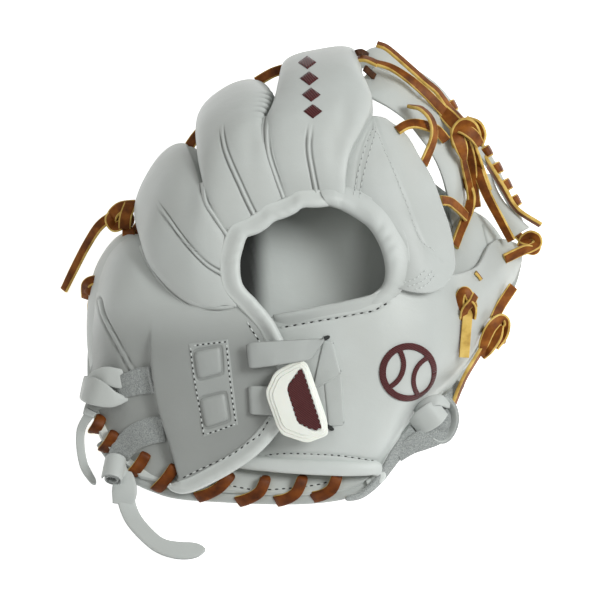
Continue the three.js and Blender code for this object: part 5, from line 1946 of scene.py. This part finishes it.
# %% Routes of the short laces
SMALL_LACES = {
    "ring_tip_lace": [(-57, 76, -31), (-53, 82, -31), (-49, 86.5, -32)],
    "middle_tip_lace": [(-22, 110.5, -40), (-14, 115, -38), (-6.5, 117.5, -40)],
    "pinky_tip_lace": [(-84, 33, -28), (-80, 39, -27), (-76, 43, -28)],
    "crotch_lace_low": [
        (48.6, 84.6, 3), (53, 87.3, 2), (57.9, 88.2, 0), (64, 87, -6), (69, 85, -12), (73.4, 80.4, -17),
    ],
    "crotch_lace_high": [
        (55.6, 97.2, -11), (60.7, 95.7, -5), (65, 91.5, -3), (67, 86, -3), (66.6, 80, -5), (64, 73, -6),
        (61.8, 68, -4),
    ],
    "web_lace_side": [(70.6, 50, -8), (75.4, 49.2, -14), (79.8, 46, -20), (84, 42, -26)],
    "web_lace_post": [
        (81.7, 61.5, -34), (85.2, 57.4, -35), (86.6, 52.2, -35), (85.6, 46.4, -33), (83.3, 40.6, -29),
        (80.4, 33.8, -24), (77.8, 27, -20),
    ],
    "thumb_tip_tail": [(120, 29, -39), (118.6, 25.4, -38), (113.6, 25.4, -36), (103.4, 20.8, -33)],
    "thumb_lace_tail": [(84.2, -2, 4.6), (83.2, -12, 4.6), (81.9, -28.6, 1.4)],
    "thumb_side_lace": [(97.5, -10, -20), (101, -3, -24), (107.6, 6.6, -32)],
    "thumb_thin_lace": [(91, -25, -14), (82.5, -39, -8), (76.6, -53, -8)],
    "pinky_near_tail": [(-103, 4, -36), (-105, -2, -36), (-105, -8, -37)],
}
LACE_TURNS = {
    "crotch_lace_low": (35, 25, -10),
    "crotch_lace_high": (80, 66, 56, 46, 36),
    "web_lace_side": (20, 40),
    "web_lace_post": (-55, -45, -20, 30, 35),
    "thumb_tip_tail": (10, 30),
    "thumb_lace_tail": (15, 10),
    "thumb_thin_lace": (70, 72),
    "thumb_side_lace": (-20, -10),
}
PLAIN_TURN = 10

# %% Short laces
PALE_LACE = {"materials": (FLESH, TAN), "slot": "rawhide"}
for name, route in SMALL_LACES.items():
    kind = PALE_LACE if name == "thumb_lace_tail" else LACE
    ribbon(name, route, LACE_SHOWN, LACE_THICK, kind, [name], turn=LACE_TURNS.get(name, PLAIN_TURN))

# %% Bits of lace at the index finger and the web's foot
# The bits at the index finger are painted darker, as lace in shade.
LACE_IN_PAINTED_SHADE = {"materials": (TAN_IN_PAINTED_SHADE, TAN_IN_PAINTED_SHADE), "slot": "rawhide"}
CORNER_BITS = [
    [(28.6, 124.6, -24), (31, 125, -27), (34, 123.4, -31)],
    [(32.6, 116.6, -17), (35, 114.6, -20), (37.4, 112.6, -24)],
    [(29.8, 107.4, -14.5), (31.6, 106.4, -15), (33, 104.6, -18)],
]
CORNER_LACE = [(39.5, 118.6, -19.4), (33, 121.4, -22), (26.6, 121.2, -28)]
BIT_WIDE = 3.4
for number, route in enumerate(CORNER_BITS, 1):
    ribbon("index_corner_bit_" + str(number), route, BIT_WIDE, 1.6, LACE_IN_PAINTED_SHADE, turn=20, steps=16)
ribbon("index_corner_lace", CORNER_LACE, LACE_SHOWN, LACE_THICK, LACE, turn=(-58, -66))
FOOT_BIT = [(88, 14), (89.6, 12.2), (91, 10.2)]
laid_ribbon("web_foot_bit", FOOT_BIT, BIT_WIDE, 1.8, LACE, lift=0.9, reach=1, steps=14, turn=35)

# %% [markdown]
# ## Heel laces
#
# Eight laces are whipped over the heel's edge. Each comes out of a hole in the leather, arches over
# the binding and goes under it, and twists a little so that its cut side shows below. A spiral
# round the edge would give eight equal turns, and the real ones differ, so each has three measured
# places and takes its height from the skin.

# %% Heel laces
HEEL_LACES = [
    ((-99.6, -58.5), (-101, -62), (-103.4, -66)), ((-92.6, -66.4), (-94.8, -70.6), (-98.4, -75.4)),
    ((-77, -77), (-79.6, -81.6), (-84, -87)), ((-62.6, -83), (-66, -88.4), (-71.8, -94.8)),
    ((-34.6, -87), (-41, -94), (-51, -98.4)), ((-17.4, -88.6), (-20.6, -96), (-30.6, -100.6)),
    ((1.2, -88.2), (-2.4, -96.4), (-11.4, -100.4)), ((18.4, -87), (15.4, -94.6), (6.6, -98.4)),
]
HEEL_WIDE = [3.4, 5.4, 5.8, 6, 6, 6.2, 6.2, 6]
HEEL_TURN = (0, 6, 14, 22, 26)
SKIN_LACES = 4
PALM_HEIGHTS = [5, 8.6, 9, 8, 5.4, 1]
for number, (start, middle, stop) in enumerate(HEEL_LACES, 1):
    start, middle, stop = (np.array(place) for place in (start, middle, stop))
    tops = [drop(*place) for place in (start, middle, (middle + stop) / 2)]
    high = [hit[0].z if hit else 4.0 for hit in tops]
    low = min(high[2], high[1])
    heights = [high[0] - 2.5, high[0] + 1.6, high[1] + 2.2, low + 2.2, low - 0.5, low - 5]
    if number > SKIN_LACES:
        heights = PALM_HEIGHTS
    pull = 2 * middle - (start + stop) / 2
    bend = [arc_point(start, pull, stop, t) for t in (0.08, 0.45, 0.75, 1)]
    places = [start - 0.3 * unit(middle - start), *bend, stop + 1.5 * unit(middle - stop)]
    route = [(*place, height) for place, height in zip(places, heights)]
    wrapped = ribbon_mesh(route, HEEL_WIDE, 2, turn=HEEL_TURN, steps=44, power=3.4)
    name = "heel_lace_" + str(number)
    finish_piece(name, wrapped, (HEEL_TAN, FLESH), "rawhide", [name])

# %% [markdown]
# ## Laces of the rim
#
# The web's outer edge is whipped with lace too. Only five turns stand up from it, all alike, so one
# short route is repeated along the edge.

# %% Laces of the rim
RIM_LACES = [(75.6, 97.8, -60), (93.4, 74.5, -57), (98.6, 66, -55), (103.2, 57.4, -51), (107.6, 49.2, -48)]
RIM_TURN = ((-0.6, -0.3, -1), (0.4, 0.2, 2), (2.6, 1.5, 2), (3.6, 2, -6))
for number, place in enumerate(RIM_LACES, 1):
    route = [np.array(place) + step for step in RIM_TURN]
    ribbon("rim_lace_" + str(number), route, 6, 1.9, LACE, power=4, steps=24)

# %% [markdown]
# ## Embroidery
#
# Plain shapes in maroon thread: a row of lozenges on the index finger and a ball on the thumb
# side. Satin stitch stands a little proud of the leather, which paint in the material would not.
# So a lozenge is a flat shape, cut finely enough to bend, whose points are dropped on the skin.

# %% Lozenges
LOZENGES = [(3.6, 119.5), (4.6, 111), (5.6, 102.5), (6.4, 94)]
LOZENGE_LONG = 3.6
LOZENGE_WIDE = 4.6
THREAD_PROUD = 0.55


def lozenge(u, v):
    """Its four corners, round the way that the face needs."""
    return [(u - LOZENGE_WIDE, v), (u, v - LOZENGE_LONG), (u + LOZENGE_WIDE, v), (u, v + LOZENGE_LONG)]


def embroidered(name, outlines, cuts=4):
    """Flat shapes of satin stitch that follow the skin."""
    bm = bmesh.new()
    for outline in outlines:
        bm.faces.new([bm.verts.new((u, v, 0)) for u, v in outline])
    bmesh.ops.triangulate(bm, faces=bm.faces)
    bmesh.ops.subdivide_edges(bm, edges=bm.edges, cuts=cuts, use_grid_fill=True)
    for vert in bm.verts:
        hit = drop(vert.co.x, vert.co.y)
        vert.co.z = hit[0].z + THREAD_PROUD
    face_out(bm)
    finish_piece(name, bm, [MAROON, MAROON], "insert", wall=0.8)


embroidered("finger_lozenges", [lozenge(u, v) for u, v in LOZENGES])

# %% Ball
BALL = (54, -36)
BALL_RADIUS = 13
SEAM_RADIUS = 12.5


def arc_route(centre, radius, start, stop, count=25):
    turns = np.radians(np.linspace(start, stop, count))
    return [(centre[0] + radius * math.cos(t), centre[1] + radius * math.sin(t)) for t in turns]


EMBROIDERY = {"materials": (MAROON, MAROON), "slot": "insert"}
RING_WIDE = 3.4
SEAM_WIDE = 2.6
BALL_LINES = {
    "ball_ring": (RING_WIDE, arc_route(BALL, BALL_RADIUS, 0, 360, 41)),
    "ball_seam_left": (SEAM_WIDE, arc_route((BALL[0] - 15, BALL[1] + 4), SEAM_RADIUS, -62, 36)),
    "ball_seam_right": (SEAM_WIDE, arc_route((BALL[0] + 15, BALL[1] - 4), SEAM_RADIUS, 118, 216)),
}
for name, (wide, route) in BALL_LINES.items():
    laid_ribbon(name, route, wide, 0.9, EMBROIDERY, reach=1, steps=90, power=3)
